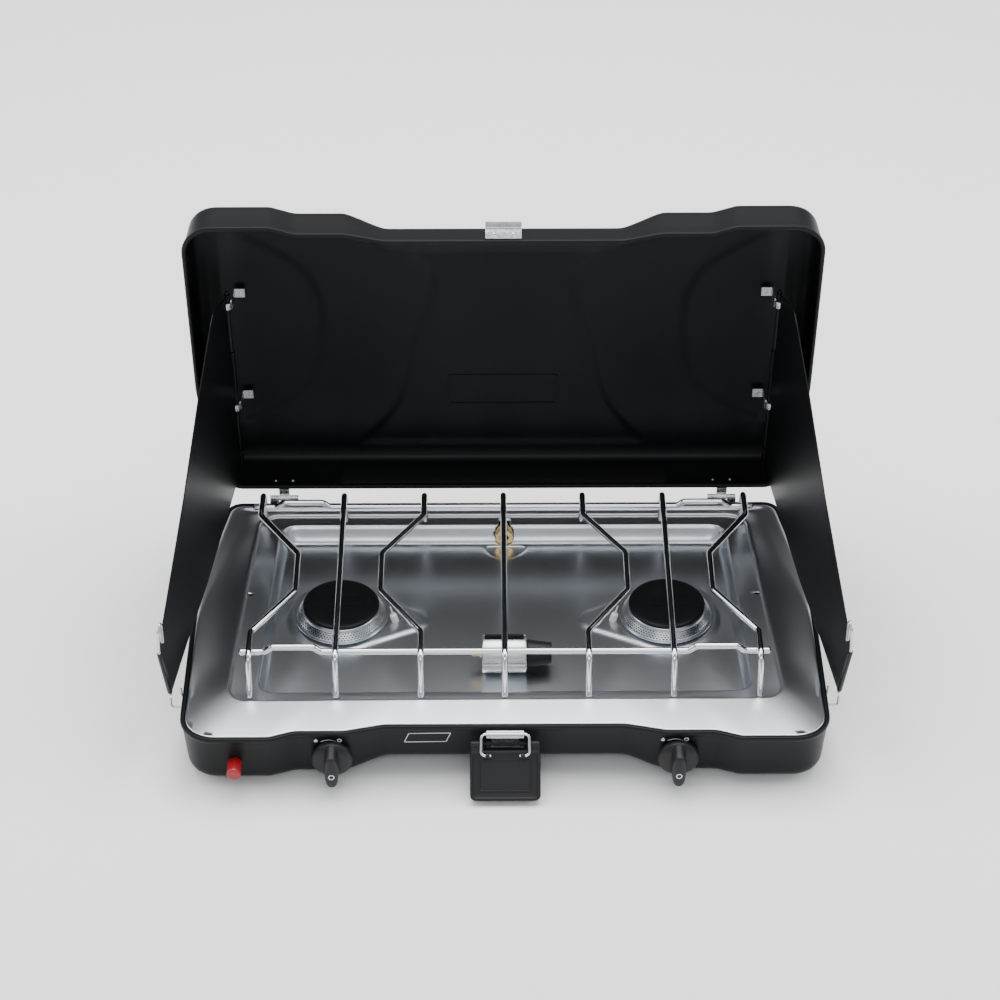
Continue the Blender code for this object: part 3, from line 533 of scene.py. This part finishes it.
def bent(points, radius, steps=7):
    path = [Vector(points[0])]
    for before, corner, after in zip(points, points[1:], points[2:]):
        corner = Vector(corner)
        back, ahead = (Vector(before) - corner).normalized(), (Vector(after) - corner).normalized()
        turn = math.pi - back.angle(ahead)
        if turn < 0.02:
            path.append(corner)
            continue
        limit = 0.49 * min((Vector(before) - corner).length, (Vector(after) - corner).length)
        reach = min(radius * math.tan(turn / 2), limit)
        middle = corner + (back + ahead).normalized() * math.hypot(reach, reach / math.tan(turn / 2))
        arm, other = corner + back * reach - middle, corner + ahead * reach - middle
        for k in range(steps + 1):
            angle = turn * k / steps
            path.append(middle + (arm * math.sin(turn - angle) + other * math.sin(angle)) / math.sin(turn))
    path.append(Vector(points[-1]))
    return path


def wire(name, points, radius, finish_of, body, nodes=(), bend=9.0, sides=16):
    """Round wire along a bent path, its ends slightly rounded."""
    path = bent(points, bend)
    first = frame_of((path[1] - path[0]).normalized())[0]
    rings = []
    for k, here in enumerate(path):
        before = (here - path[k - 1]).normalized() if k else (path[1] - here).normalized()
        after = (path[k + 1] - here).normalized() if k + 1 < len(path) else before
        along = (before + after).normalized()
        first = (first - along * first.dot(along)).normalized()
        second = along.cross(first)
        shrink = [(0.0, 1.0)]
        if k == 0:
            shrink = [(0.0, 0.7), (0.25, 0.93), (0.6, 1.0)]
        elif k + 1 == len(path):
            shrink = [(-0.6, 1.0), (-0.25, 0.93), (0.0, 0.7)]
        for shift, size in shrink:
            ring = []
            for i in range(sides):
                a = math.tau * i / sides
                around_it = (first * math.cos(a) + second * math.sin(a)) * size
                ring.append(here + (along * shift + around_it) * radius)
            rings.append(ring)
    return link(name, skin(rings), finish_of, body, nodes)


foot = RIM - 3.0 + GAP + WIRE
for number in range(7):
    row = number - 3
    side = 1 if row > 0 else -1
    if number in (1, 3, 5):
        far = side * BURNER_X if row else 0.0
        run = [(far, 132.0), (far, -96.0)]
    else:
        far, near = side * (219.0 if abs(row) == 3 else 72.0), side * (183.0 if abs(row) == 3 else 108.5)
        run = [(far, 132.0), (far, 98.0), (near, 43.0), (near, -8.0), (far, -64.0), (far, -96.0)]
    path = [(far, 134.5, foot)] + [(x, y, GRATE) for x, y in run] + [(far, -108.5, foot)]
    name = "grate_wire_%d" % (number + 1)
    wire(name + "_shown", path, SHOWN_WIRE, CHROME, "grate", [name])
for tag, y in (("front", -84.0), ("rear", 117.0)):
    low = GRATE - 2 * WIRE - 0.1
    path = [(-228.0, y, low)]
    for first, last in ((-206.0, -158.0), (158.0, 206.0)):
        path += [(first, y, low), (first + 6, y, low + 5.2), (last - 6, y, low + 5.2), (last, y, low)]
    wire("grate_bar_%s_shown" % tag, path + [(228.0, y, low)], SHOWN_WIRE, CHROME, "grate",
         ["grate_bar_" + tag], bend=7.0)


# ================================================================ lid
# Pressed black lid leaning back, seen into its hollow: same plan as the case, a shallower front
# centre, an embossed waist across the panel and a bead along the wall over the hinges.
ZINC = finish("zinc_steel", (0.62, 0.63, 0.64), 0.30, 1.0, scale=350.0, swing=0.08, bump=0.08, tone=0.85,
              broad=160.0)
LEAN = math.radians(9.0)
MOUTH_Y, MOUTH_Z = 165.2, RIM + 12.3


def lid_point(x, s, n):
    """Place in the open lid: s up along it from its hinge side, n back from its mouth."""
    return (x, MOUTH_Y - s * math.sin(LEAN) + n * math.cos(LEAN),
            MOUTH_Z + s * math.cos(LEAN) + n * math.sin(LEAN))


def curve(s, knots):
    """Smooth curve through knots of (s, x), read at s."""
    last = len(knots) - 2
    k = next((k for k in range(last) if s <= knots[k + 1][0]), last)
    (s0, x0), (s1, x1) = knots[k], knots[k + 1]
    before, after = knots[max(0, k - 1)], knots[min(last + 1, k + 2)]
    m0 = (x1 - before[1]) / (s1 - before[0]) * (s1 - s0)
    m1 = (after[1] - x0) / (after[0] - s0) * (s1 - s0)
    t = min(1.0, max(0.0, (s - s0) / (s1 - s0)))
    return ((2 * t ** 3 - 3 * t ** 2 + 1) * x0 + (t ** 3 - 2 * t ** 2 + t) * m0
            + (3 * t ** 2 - 2 * t ** 3) * x1 + (t ** 3 - t ** 2) * m1)


def waist(s):
    """Half width of the embossed waist at s."""
    return curve(s, [(-10.0, 160.0), (16.0, 133.0), (37.0, 118.0), (71.0, 96.0), (107.6, 85.0),
                     (159.0, 77.0), (198.0, 63.0), (232.0, 59.0), (255.0, 74.0), (270.0, 99.0),
                     (290.0, 135.0), (330.0, 180.0)])


def cheek(s):
    """Inner edge of the pressed cheek that holds the wing's clips."""
    return curve(s, [(40.0, 262.0), (60.0, 226.0), (77.0, 198.0), (100.0, 176.0), (134.0, 164.0),
                     (170.0, 161.0), (203.0, 162.0), (232.0, 171.0), (255.0, 190.0), (271.0, 212.0),
                     (300.0, 262.0)])


def lid_relief(x, y):
    """Depth added to the panel by the waist and the two cheeks."""
    s = REAR - y
    edge = abs(x) - waist(s)
    low = smooth(10.0, 30.0, s)
    step = -2.6 * (1.0 - smooth(-5.0, 5.0, edge)) * (1.0 - smooth(215.0, 272.0, s))
    groove = 1.0 * math.exp(-(edge / 3.4) ** 2) * (1.0 - smooth(282.0, 298.0, s))
    return (step - groove) * low - 2.2 * smooth(-6.0, 6.0, abs(x) - cheek(s))


profile = pan_profile(1.0)
shell = skin(pan_rings(profile, 12.0, 1.0, 1.6), False, False)
patch(shell, 0, lid_relief)
patch(shell, (len(profile) - 1) * 2 * (ACROSS + ALONG), lid_relief)


def beaded(x, y, z):
    """Adds the long bead of the hinge-side wall."""
    if y < REAR - 14.0:
        return y
    along = 1.0 - smooth(148.0, 160.0, abs(x))
    return y - 2.0 * along * math.exp(-((z + 22.7) / 7.0) ** 4)


DEPTH_SCALE = 39.5 / (DEEP + 0.6)
for vert in shell.verts:
    x, y, z = vert.co
    vert.co = lid_point(x, REAR - beaded(x, y, z), -(z - 0.6) * DEPTH_SCALE)
link("lid", shell, BLACK_PAINT, "lid", ["lid_shell"])


# Plain raised frame on the panel, the strike plate over the front edge with two rivets, and two
# rivets of each hinge strap on the bottom wall.
def on_lid(rings):
    return [[lid_point(*p) for p in ring] for ring in rings]


rings = [[(x, 91.0 + y, 40.8 - z) for x, y, z in ring] for ring in plate_frame(50.0, 19.0, 2.0, 0.7)]
link("lid_frame", closed(on_lid(rings)), BLACK_PAINT, "lid")


def strip(points, thick):
    """Closed section of a bent strip: its polyline and the same line set off by thick."""
    points = [Vector(p) for p in points]
    far = []
    for k, here in enumerate(points):
        ahead = (points[min(k + 1, len(points) - 1)] - points[max(k - 1, 0)]).normalized()
        far.append(here + Vector((-ahead.y, ahead.x)) * thick)
    return [tuple(p) for p in points] + [tuple(p) for p in reversed(far)]


def across(section, half, place, centre=0.0, soft=0.4):
    """Rings of a section swept across x, its two ends slightly drawn in."""
    middle = [sum(p[k] for p in section) / len(section) for k in (0, 1)]
    rings = []
    for x, size in ((-half, 0.985), (soft - half, 1.0), (half - soft, 1.0), (half, 0.985)):
        rings.append([place(centre + x, *[m + (v - m) * size for v, m in zip(p, middle)]) for p in section])
    return rings


EDGE = REAR - MIDDLE_WALL - 1.0
path = [(EDGE + 0.9, 2.6), (EDGE + 0.3, 8.0), (EDGE - 0.6, 16.4)]
path += bow((EDGE - 0.6, 17.4), (EDGE - 0.7, 18.9), (EDGE + 0.6, 19.1), 4) + [(EDGE + 5.0, 19.8)]
link("strike", skin(across(strip(path, -0.9), 15.5, lid_point)), ZINC, "lid", ["strike_plate"])


def rivet(name, spot, axis, radius, body, finish_of=ZINC):
    dome = bow((0.1, radius), (0.55 * radius, radius * 0.95), (0.62 * radius, radius * 0.1), 6)
    link(name, turned(spot, axis, [(-0.6, radius)] + dome, 24), finish_of, body)


UP = Vector((0.0, -math.sin(LEAN), math.cos(LEAN)))
BACK = Vector((0.0, math.cos(LEAN), math.sin(LEAN)))
for side, tag in ((-1, "left"), (1, "right")):
    rivet("strike_rivet_" + tag, lid_point(side * 8.4, EDGE + 1.4, 8.5), UP, 1.9, "lid")
    for number, x in enumerate((195.0, 211.0), 1):
        rivet("hinge_rivet_%s_%d" % (tag, number), lid_point(side * x, 3.2, 9.0), UP, 1.7, "lid")


# ================================================================ wind wings
# Thin black sheet wings on steel rods in the lid's clips. The front edge is hemmed round a bright
# wire that forms a finger loop above and a foot below, which stands in a wire hook on the case.
FLARE = math.radians(9.0)
CLIP_ROWS = (86.0, 212.0)
ROD_X, ROD_DEPTH = 242.0, 20.0
HOOK_Y, HOOK_Z = -103.0, 40.0


def wing_place(side, along, s, off=0.0):
    dx = -math.sin(FLARE) * along + math.cos(FLARE) * off
    dn = -math.cos(FLARE) * along - math.sin(FLARE) * off
    return lid_point(side * (ROD_X - dx), s, ROD_DEPTH + dn)


def outline_2d(points, radius):
    """Closed outline with its corners rounded."""
    corners = [(x, y, radius) for x, y in points]
    return rounded(corners, 0.0, 4)


for side, tag in ((-1, "left"), (1, "right")):
    body = "wing_" + tag
    top_row = [(2.2, 229.0), (40.0, 249.0), (50.0, 251.0), (60.0, 247.5), (114.0, 218.0), (190.0, 168.0),
               (294.0, 112.0), (302.5, 104.0)]
    bottom_row = [(286.0, 26.0), (228.0, 23.0), (150.0, 14.0), (10.0, 14.0), (2.2, 16.0)]
    notches = []
    for row in CLIP_ROWS:
        notches += [(2.2, row - 52.0), (7.0, row - 52.0), (7.0, row + 10.0), (2.2, row + 10.0)]
    edge = bottom_row[::-1] + top_row[::-1] + notches[::-1]
    rings = []
    for off in (-0.45, 0.45):
        rings.append([wing_place(side, a, s, off) for a, s in outline_2d(edge, 1.2)])
    link("wing_sheet_" + tag, skin(rings), BLACK_PAINT, body, ["wing_panel_" + tag])
    for number, (low, high) in enumerate(((16.5, 33.5), (96.5, 159.5), (222.5, 229.0)), 1):
        rows = [(0, 1.65), (0, 2.4), (high - low, 2.4), (high - low, 1.65)]
        start = wing_place(side, 0, low)
        link("wing_knuckle_%s_%d" % (tag, number), turned(start, UP, rows, 24, True), BLACK_PAINT, body)
    wire("wing_rod_shown_" + tag, [wing_place(side, 0, 14.0), wing_place(side, 0, 232.0)], 1.5, BLACK_PAINT,
         "wing_%s_rod" % tag, ["wing_rod_" + tag])
    foot_end, head = wing_place(side, 288.9, 26.0), wing_place(side, 305.9, 104.0)
    loop = [foot_end, head, wing_place(side, 301.0, 122.0), wing_place(side, 294.0, 126.0),
            wing_place(side, 292.0, 120.0), wing_place(side, 300.5, 108.5, 2.6)]
    wire("wing_wire_" + tag, loop, 1.5, ZINC, body, ["wing_pull_" + tag], bend=3.0)
    hem = [wing_place(side, 288.7 + 17.0 * t, 26.0 + 78.0 * t) for t in (0.05, 0.95)]
    wire("wing_hem_" + tag, hem, 2.3, BLACK_PAINT, body)
    x0, z0 = foot_end[0], foot_end[2]
    far_y = HOOK_Y + 14.0
    catch = [(x0, HOOK_Y, z0 - 2.4), (x0, HOOK_Y, HOOK_Z), (side * 267.0, HOOK_Y, HOOK_Z),
             (side * 267.0, far_y, HOOK_Z), (side * 279.5, far_y, HOOK_Z), (side * 279.5, far_y, 49.0)]
    wire("hook_" + tag, catch, 1.0, ZINC, "base", ["base_hook_" + tag], bend=2.5)
    for number, row in enumerate(CLIP_ROWS, 1):
        ring_rows = [(0, 1.9), (0.3, 3.2), (0.8, 3.4), (7.2, 3.4), (7.7, 3.2), (8.0, 1.9)]
        start = wing_place(side, 0, row)
        link("clip_eye_%s_%d" % (tag, number), turned(start, UP, ring_rows, 32, True), ZINC, "lid",
             ["wing_clip_%s_%d" % (tag, number)])
        path = [(239.4, 21.0), (239.4, 22.6), (238.2, 24.0), (238.2, 34.2)]
        path += bow((238.2, 35.0), (238.0, 36.2), (236.6, 36.3), 3) + [(228.0, 36.4)]
        section = strip(path, 1.0)
        rings = [[lid_point(side * x, s, n) for x, n in section] for s in (row - 1.0, row + 9.0)]
        link("clip_tab_%s_%d" % (tag, number), skin(rings), ZINC, "lid")
        head = lid_point(side * 232.0, row + 4.0, 36.0)
        rivet("clip_rivet_%s_%d" % (tag, number), head, -BACK, 1.7, "lid")


# ================================================================ controls
# Round knob bezels with a tapered grip, the red igniter button in its collar, and white flame, arc
# and ring marks on the front wall.
BLACK_PLASTIC = finish("black_plastic", (0.009, 0.009, 0.01), 0.46, scale=1500.0, bump=0.25, sheen=0.3)
RED_PLASTIC = finish("red_plastic", (0.31, 0.008, 0.014), 0.33, scale=900.0, bump=0.1, tone=0.9)
WHITE_INK = finish("white_ink", (0.72, 0.73, 0.74), 0.55, scale=1500.0, bump=0.1, tone=0.95)
KNOB_X = 147.0

for side, tag in ((-1, "left"), (1, "right")):
    spot = (side * KNOB_X, -155.8, RIM - 25.5)
    body = "knob_turn_" + tag
    rows = [(-0.3, 16.2)] + bow((0.0, 16.8), (0.4, 17.5), (1.4, 17.5), 3)
    rows += bow((4.2, 17.5), (5.6, 17.4), (7.2, 14.6), 5) + [(8.3, 12.6), (9.0, 8.0), (9.2, 0.4)]
    link("bezel_" + tag, turned(spot, (0, -1, 0), rows, 72), BLACK_PLASTIC, body, ["knob_" + tag])
    rings = []
    for depth, wide, trim in ((5.0, 6.5, 0.0), (12.0, 6.2, 0.5), (18.0, 5.9, 1.0), (19.8, 5.6, 1.4),
                              (20.8, 5.0, 2.0), (21.4, 4.2, 2.9)):
        ring = []
        for k in range(48):
            a = math.tau * k / 48
            high = 17.0 - trim if math.cos(a) > 0 else 18.5 - trim
            blunt = [math.copysign(abs(v) ** 0.7, v) for v in (math.sin(a), math.cos(a))]
            ring.append((spot[0] + wide * blunt[0], spot[1] - depth, spot[2] + high * blunt[1]))
        rings.append(ring)
    link("grip_" + tag, skin(rings), BLACK_PLASTIC, body)
    rows = [(21.1, 1.9), (21.7, 1.9), (21.7, 2.7), (21.1, 2.7)]
    start = (spot[0], spot[1], spot[2] - 4.5)
    link("grip_ring_" + tag, turned(start, (0, -1, 0), rows, 32, True), WHITE_INK, body)

start = (-229.5, -150.3, RIM - 28.0)
rows = [(0, 4.4), (6.0, 4.4), (6.0, 6.0), (6.6, 6.2), (23.6, 6.1)]
rows += bow((24.4, 6.0), (26.2, 5.8), (26.4, 4.2), 5) + [(26.3, 3.4), (26.0, 0.3)]
link("button", turned(start, (0, -1, 0), rows, 48), RED_PLASTIC, "igniter", ["igniter_button"])
rows = [(4.0, 6.6), (4.0, 8.2), (8.4, 8.2), (9.2, 7.6), (9.2, 6.6)]
link("button_collar", turned(start, (0, -1, 0), rows, 48, True), BLACK_PLASTIC, "base")


def on_front(x, z, out, centre=False):
    """Place on the slanted front wall, out in front of it."""
    inset = 1.15 + (-4.4 - z) * (0.117 if centre else 0.094)
    return (x, (MIDDLE_WALL if centre else KNOB_WALL) + inset - out, RIM + z)


def mark(name, outline, inner=None, centre=False):
    """Thin printed shape on the front wall, solid or with an inner outline."""
    loops = [outline, inner] if inner else [outline]
    rings = [[on_front(x, z, out, centre) for x, z in loop] for loop in loops for out in (-0.1, 0.14)]
    if inner:
        link(name, closed([rings[0], rings[1], rings[3], rings[2]]), WHITE_INK, "base")
    else:
        link(name, skin(rings), WHITE_INK, "base")


def round_mark(x, z, radius, sides=24):
    turns = [math.tau * k / sides for k in range(sides)]
    return [(x + radius * math.cos(a), z + radius * math.sin(a)) for a in turns]


for side, tag in ((-1, "left"), (1, "right")):
    x, z = side * KNOB_X, -8.7
    flame = [(0.0, -2.0), (1.2, -1.7), (1.7, -0.6), (1.3, 0.5), (0.7, 1.1), (0.5, 2.2), (-0.5, 1.2),
             (-0.9, 0.2), (-1.2, 0.6), (-1.7, -0.6), (-1.2, -1.7)]
    mark("flame_mark_" + tag, [(x - 13.4 + dx, z + dz) for dx, dz in flame])
    sweep = [(x - 9.2 + 12.8 * k / 12, z - 1.0 + 1.9 * math.sin(math.pi * k / 12)) for k in range(13)]
    back = [(px, pz - 0.85 + 0.45 * k / 12) for k, (px, pz) in enumerate(sweep)]
    mark("arc_mark_" + tag, back + sweep[::-1])
    mark("ring_mark_" + tag, round_mark(x + 6.6, z, 2.1), round_mark(x + 6.6, z, 1.2))
badge = [(-86.0, -19.0, 1.2), (-50.0, -19.0, 1.2), (-46.0, -8.0, 1.2), (-82.0, -8.0, 1.2)]
mark("badge_line", rounded(badge, 0.0, 4), rounded(badge, 0.55, 4), centre=True)


# ================================================================ latch
# Ridged steel catch plate, black lever hanging on its cross pin with a framed face, and the bright
# wire bail that turns in the lever's two eyes.
TILT = math.radians(38.0)
PIN_Y, PIN_Z = -153.9, RIM - 14.0
SEAT = 9.5
BAIL_HALF = 20.5


def lever(x, down, out):
    """Place on the lever: down along it from its pin, out from its middle plane."""
    return (x, PIN_Y - down * math.sin(TILT) - out * math.cos(TILT),
            PIN_Z - down * math.cos(TILT) + out * math.sin(TILT))


def upright(x, y, z):
    return (x, y, z)


section = [(0.0, 34.2), (-1.1, 34.2), (-1.3, 44.2)]
section += bow((-1.3, 44.8), (-3.3, 45.0), (-3.3, 46.4), 3)
section += bow((-3.3, 47.0), (-3.2, 48.4), (-1.5, 48.5), 3)
section += bow((-1.5, 49.4), (-3.1, 49.6), (-3.1, 50.8), 3)
section += bow((-3.1, 51.4), (-2.9, 52.9), (-1.1, 53.0), 3) + [(0.0, 53.0)]
section = [(MIDDLE_WALL - 0.4 + y, z) for y, z in section]
link("catch_plate", skin(across(section, 15.8, upright)), ZINC, "base", ["latch_bracket"])
wire("latch_pin", [(-24.0, PIN_Y, PIN_Z), (24.0, PIN_Y, PIN_Z)], 1.3, BLACK_PAINT, "base")
for side, tag in ((-1, "left"), (1, "right")):
    wall = MIDDLE_WALL - 0.7
    section = [(wall, PIN_Z - 2.4), (wall, PIN_Z + 2.4), (wall - 5.8, PIN_Z + 2.4),
               (wall - 7.4, PIN_Z + 1.0), (wall - 7.4, PIN_Z - 1.0), (wall - 5.8, PIN_Z - 2.4)]
    link("pin_lug_" + tag, skin(across(section, 2.0, upright, side * 14.0)), BLACK_PAINT, "base")
plan = [(-30.0, 5.0, 4.0), (30.0, 5.0, 4.0), (30.0, 48.0, 5.0), (-30.0, 48.0, 5.0)]
rings = []
for inset, out in ((3.0, -3.0), (1.0, -3.0), (0.3, -2.7), (0.0, -2.0), (0.0, 2.0), (0.3, 2.7), (0.9, 3.0),
                   (2.2, 3.0), (2.8, 2.2), (3.4, 2.0), (7.4, 2.0), (7.8, 2.5), (8.8, 2.5), (9.2, 2.0)):
    rings.append([lever(x, d, out) for x, d in around(plan, inset)])
link("lever", skin(rings), BLACK_PLASTIC, "latch_lever", ["latch_handle"])
for side, tag in ((-1, "left"), (1, "right")):
    rows = [(0, 1.7), (0.3, 3.0), (0.8, 3.2), (10.2, 3.2), (10.7, 3.0), (11.0, 1.7)]
    start = (side * 23.9 - 5.5, PIN_Y, PIN_Z)
    link("lever_ear_" + tag, turned(start, (1, 0, 0), rows, 32, True), BLACK_PLASTIC, "latch_lever")
    section = [(2.4, -1.7), (2.4, 1.7), (7.5, 1.9), (7.5, -1.9)]
    link("lever_web_" + tag, skin(across(section, 5.2, lever, side * 23.9)), BLACK_PLASTIC, "latch_lever")
    eye = lever(side * 15.0 - 2.0, SEAT, 4.9)
    rows = [(0, 1.4), (0.2, 2.4), (0.5, 2.6), (3.5, 2.6), (3.8, 2.4), (4.0, 1.4)]
    link("bail_eye_" + tag, turned(eye, (1, 0, 0), rows, 32, True), BLACK_PLASTIC, "latch_lever")
low = lever(0, SEAT, 4.9)[1:]
top = (-153.3, RIM - 3.0)
bail = [(-12.0, *low), (-BAIL_HALF, *low), (-BAIL_HALF, *top), (BAIL_HALF, *top), (BAIL_HALF, *low),
        (12.0, *low)]
wire("bail", bail, 1.2, CHROME, "latch_wire", ["latch_bail"], bend=4.0)


# ================================================================ gas fittings
# Regulator lying in the tray: bright body with two long grooves and a plain dark label, black cone
# cap and brass nipple; and the brass socket in the rear opening.
ALUMINIUM = finish("cast_aluminium", (0.74, 0.75, 0.76), 0.30, 1.0, scale=900.0, stretch=(0.1, 1, 1),
                   tone=0.92)
BRASS = finish("brass", (0.78, 0.55, 0.24), 0.24, 1.0, scale=800.0, swing=0.06)
axis_y, axis_z = -52.0, RIM - 18.0 + GAP + 17.0
rings = []
for x, size in ((-19.5, 0.93), (-19.0, 0.975), (-18.2, 1.0), (18.0, 1.0), (18.8, 0.975), (19.3, 0.93)):
    ring = []
    for k in range(180):
        a = math.tau * k / 180
        lift = math.degrees(a)
        depth = 0.35 * math.exp(-((lift - 45.0) / 2.2) ** 2)
        low_side = (lift + 180) % 360 - 180
        depth += 0.9 * smooth(-6.0, -3.0, low_side) * (1.0 - smooth(13.0, 16.0, low_side))
        radius = (17.0 - depth) * size
        ring.append((x, axis_y - radius * math.cos(a), axis_z + radius * math.sin(a)))
    rings.append(ring)
link("regulator", skin(rings), ALUMINIUM, "base", ["regulator_body"], sharp=50.0)
rings = []
for x, size in ((-17.2, 16.9), (-17.0, 17.12), (16.8, 17.12), (17.0, 16.9)):
    arc = [math.radians(86.0 + 44.0 * k / 16) for k in range(17)]
    ring = [(x, axis_y - size * math.cos(a), axis_z + size * math.sin(a)) for a in arc]
    ring += [(x, axis_y - 16.6 * math.cos(a), axis_z + 16.6 * math.sin(a)) for a in reversed(arc)]
    rings.append(ring)
link("regulator_label", skin(rings), BLACK_PAINT, "base")
rows = [(0, 11.8), (0.5, 12.4), (1.0, 12.5), (19.6, 10.1)]
rows += bow((20.4, 10.0), (21.4, 9.8), (21.5, 8.6), 4) + [(21.2, 0.4)]
link("regulator_cone", turned((19.6, axis_y, axis_z), (1, 0, 0), rows, 64), BLACK_PLASTIC, "base",
     ["regulator_cap"])
rows = [(0, 3.3), (1.4, 3.3), (1.6, 3.0), (1.7, 2.2)]
for k in range(6):
    rows += [(2.2 + k, 2.2), (2.5 + k, 1.9), (2.8 + k, 2.2)]
rows += [(8.3, 2.1), (8.5, 1.6)]
link("nipple", turned((-19.8, axis_y, axis_z), (-1, 0, 0), rows, 40), BRASS, "base", ["regulator_nipple"])
rows = [(0, 4.2), (0, 7.9), (0.5, 8.4), (8.0, 8.4), (9.0, 8.0), (14.0, 7.0), (14.0, 4.2)]
socket = turned((0.8, 121.0, RIM - 10.0), (0, 1, 0), rows, 48, True)
link("socket", socket, BRASS, "base", ["inlet_fitting"])


# ================================================================ feet and hidden parts
# Rubber feet, hinges, valves and pipes are shown by their CAD pieces, in the finishes used above.
finish("foot_rubber", (0.02, 0.02, 0.02), 0.75, scale=1200.0, bump=0.4)
for name, node in frame["nodes"].items():
    node.data.materials.clear()
    node.data.materials.append(FINISHES[SLOTS[name]])


# ================================================================ stage
# Plain pale floor, soft lights from above and both sides, and the viewing camera.
def area_light(name, place, aim, size, power):
    lamp = bpy.data.lights.new(name, "AREA")
    lamp.shape = "RECTANGLE"
    lamp.size, lamp.size_y = size
    lamp.energy = power
    holder = bpy.data.objects.new(name, lamp)
    holder.location = place
    holder.rotation_euler = (Vector(aim) - Vector(place)).to_track_quat("-Z", "Y").to_euler()
    bpy.context.scene.collection.objects.link(holder)


floor_mesh = bpy.data.meshes.new("floor")
reach = 12.0
sheet = bmesh.new()
bmesh.ops.create_grid(sheet, x_segments=1, y_segments=1, size=reach)
sheet.to_mesh(floor_mesh)
sheet.free()
floor_mesh.materials.append(finish("floor_paper", (0.97, 0.97, 0.97), 0.9, scale=60.0, bump=0.02, tone=0.99,
                                   sheen=0.1))
floor_piece = bpy.data.objects.new("floor", floor_mesh)
bpy.context.scene.collection.objects.link(floor_piece)

area_light("overhead", (0.0, 0.6, 2.4), (0.0, 0.1, 0.0), (2.6, 2.2), 104.0)
area_light("left_side", (-2.2, 0.2, 1.3), (0.0, 0.0, 0.1), (1.2, 1.4), 22.0)
area_light("right_side", (2.2, 0.2, 1.3), (0.0, 0.0, 0.1), (1.2, 1.4), 22.0)
area_light("front_fill", (0.0, -2.4, 2.2), (0.0, 0.0, 0.1), (2.4, 0.8), 20.0)

world = bpy.data.worlds.new("studio")
world.use_nodes = True
world.node_tree.nodes["Background"].inputs["Color"].default_value = (0.95, 0.97, 1.0, 1.0)
world.node_tree.nodes["Background"].inputs["Strength"].default_value = 0.6
bpy.context.scene.world = world

camera_data = bpy.data.cameras.new("camera")
camera_data.sensor_width = 36.0
camera_data.lens = 106.2
camera = bpy.data.objects.new("camera", camera_data)
camera.location = (-0.0137, -2.007, 1.743)
camera.rotation_euler = (math.radians(90.0 - 37.94), 0.0, math.radians(-0.289))
bpy.context.scene.collection.objects.link(camera)
bpy.context.scene.camera = camera
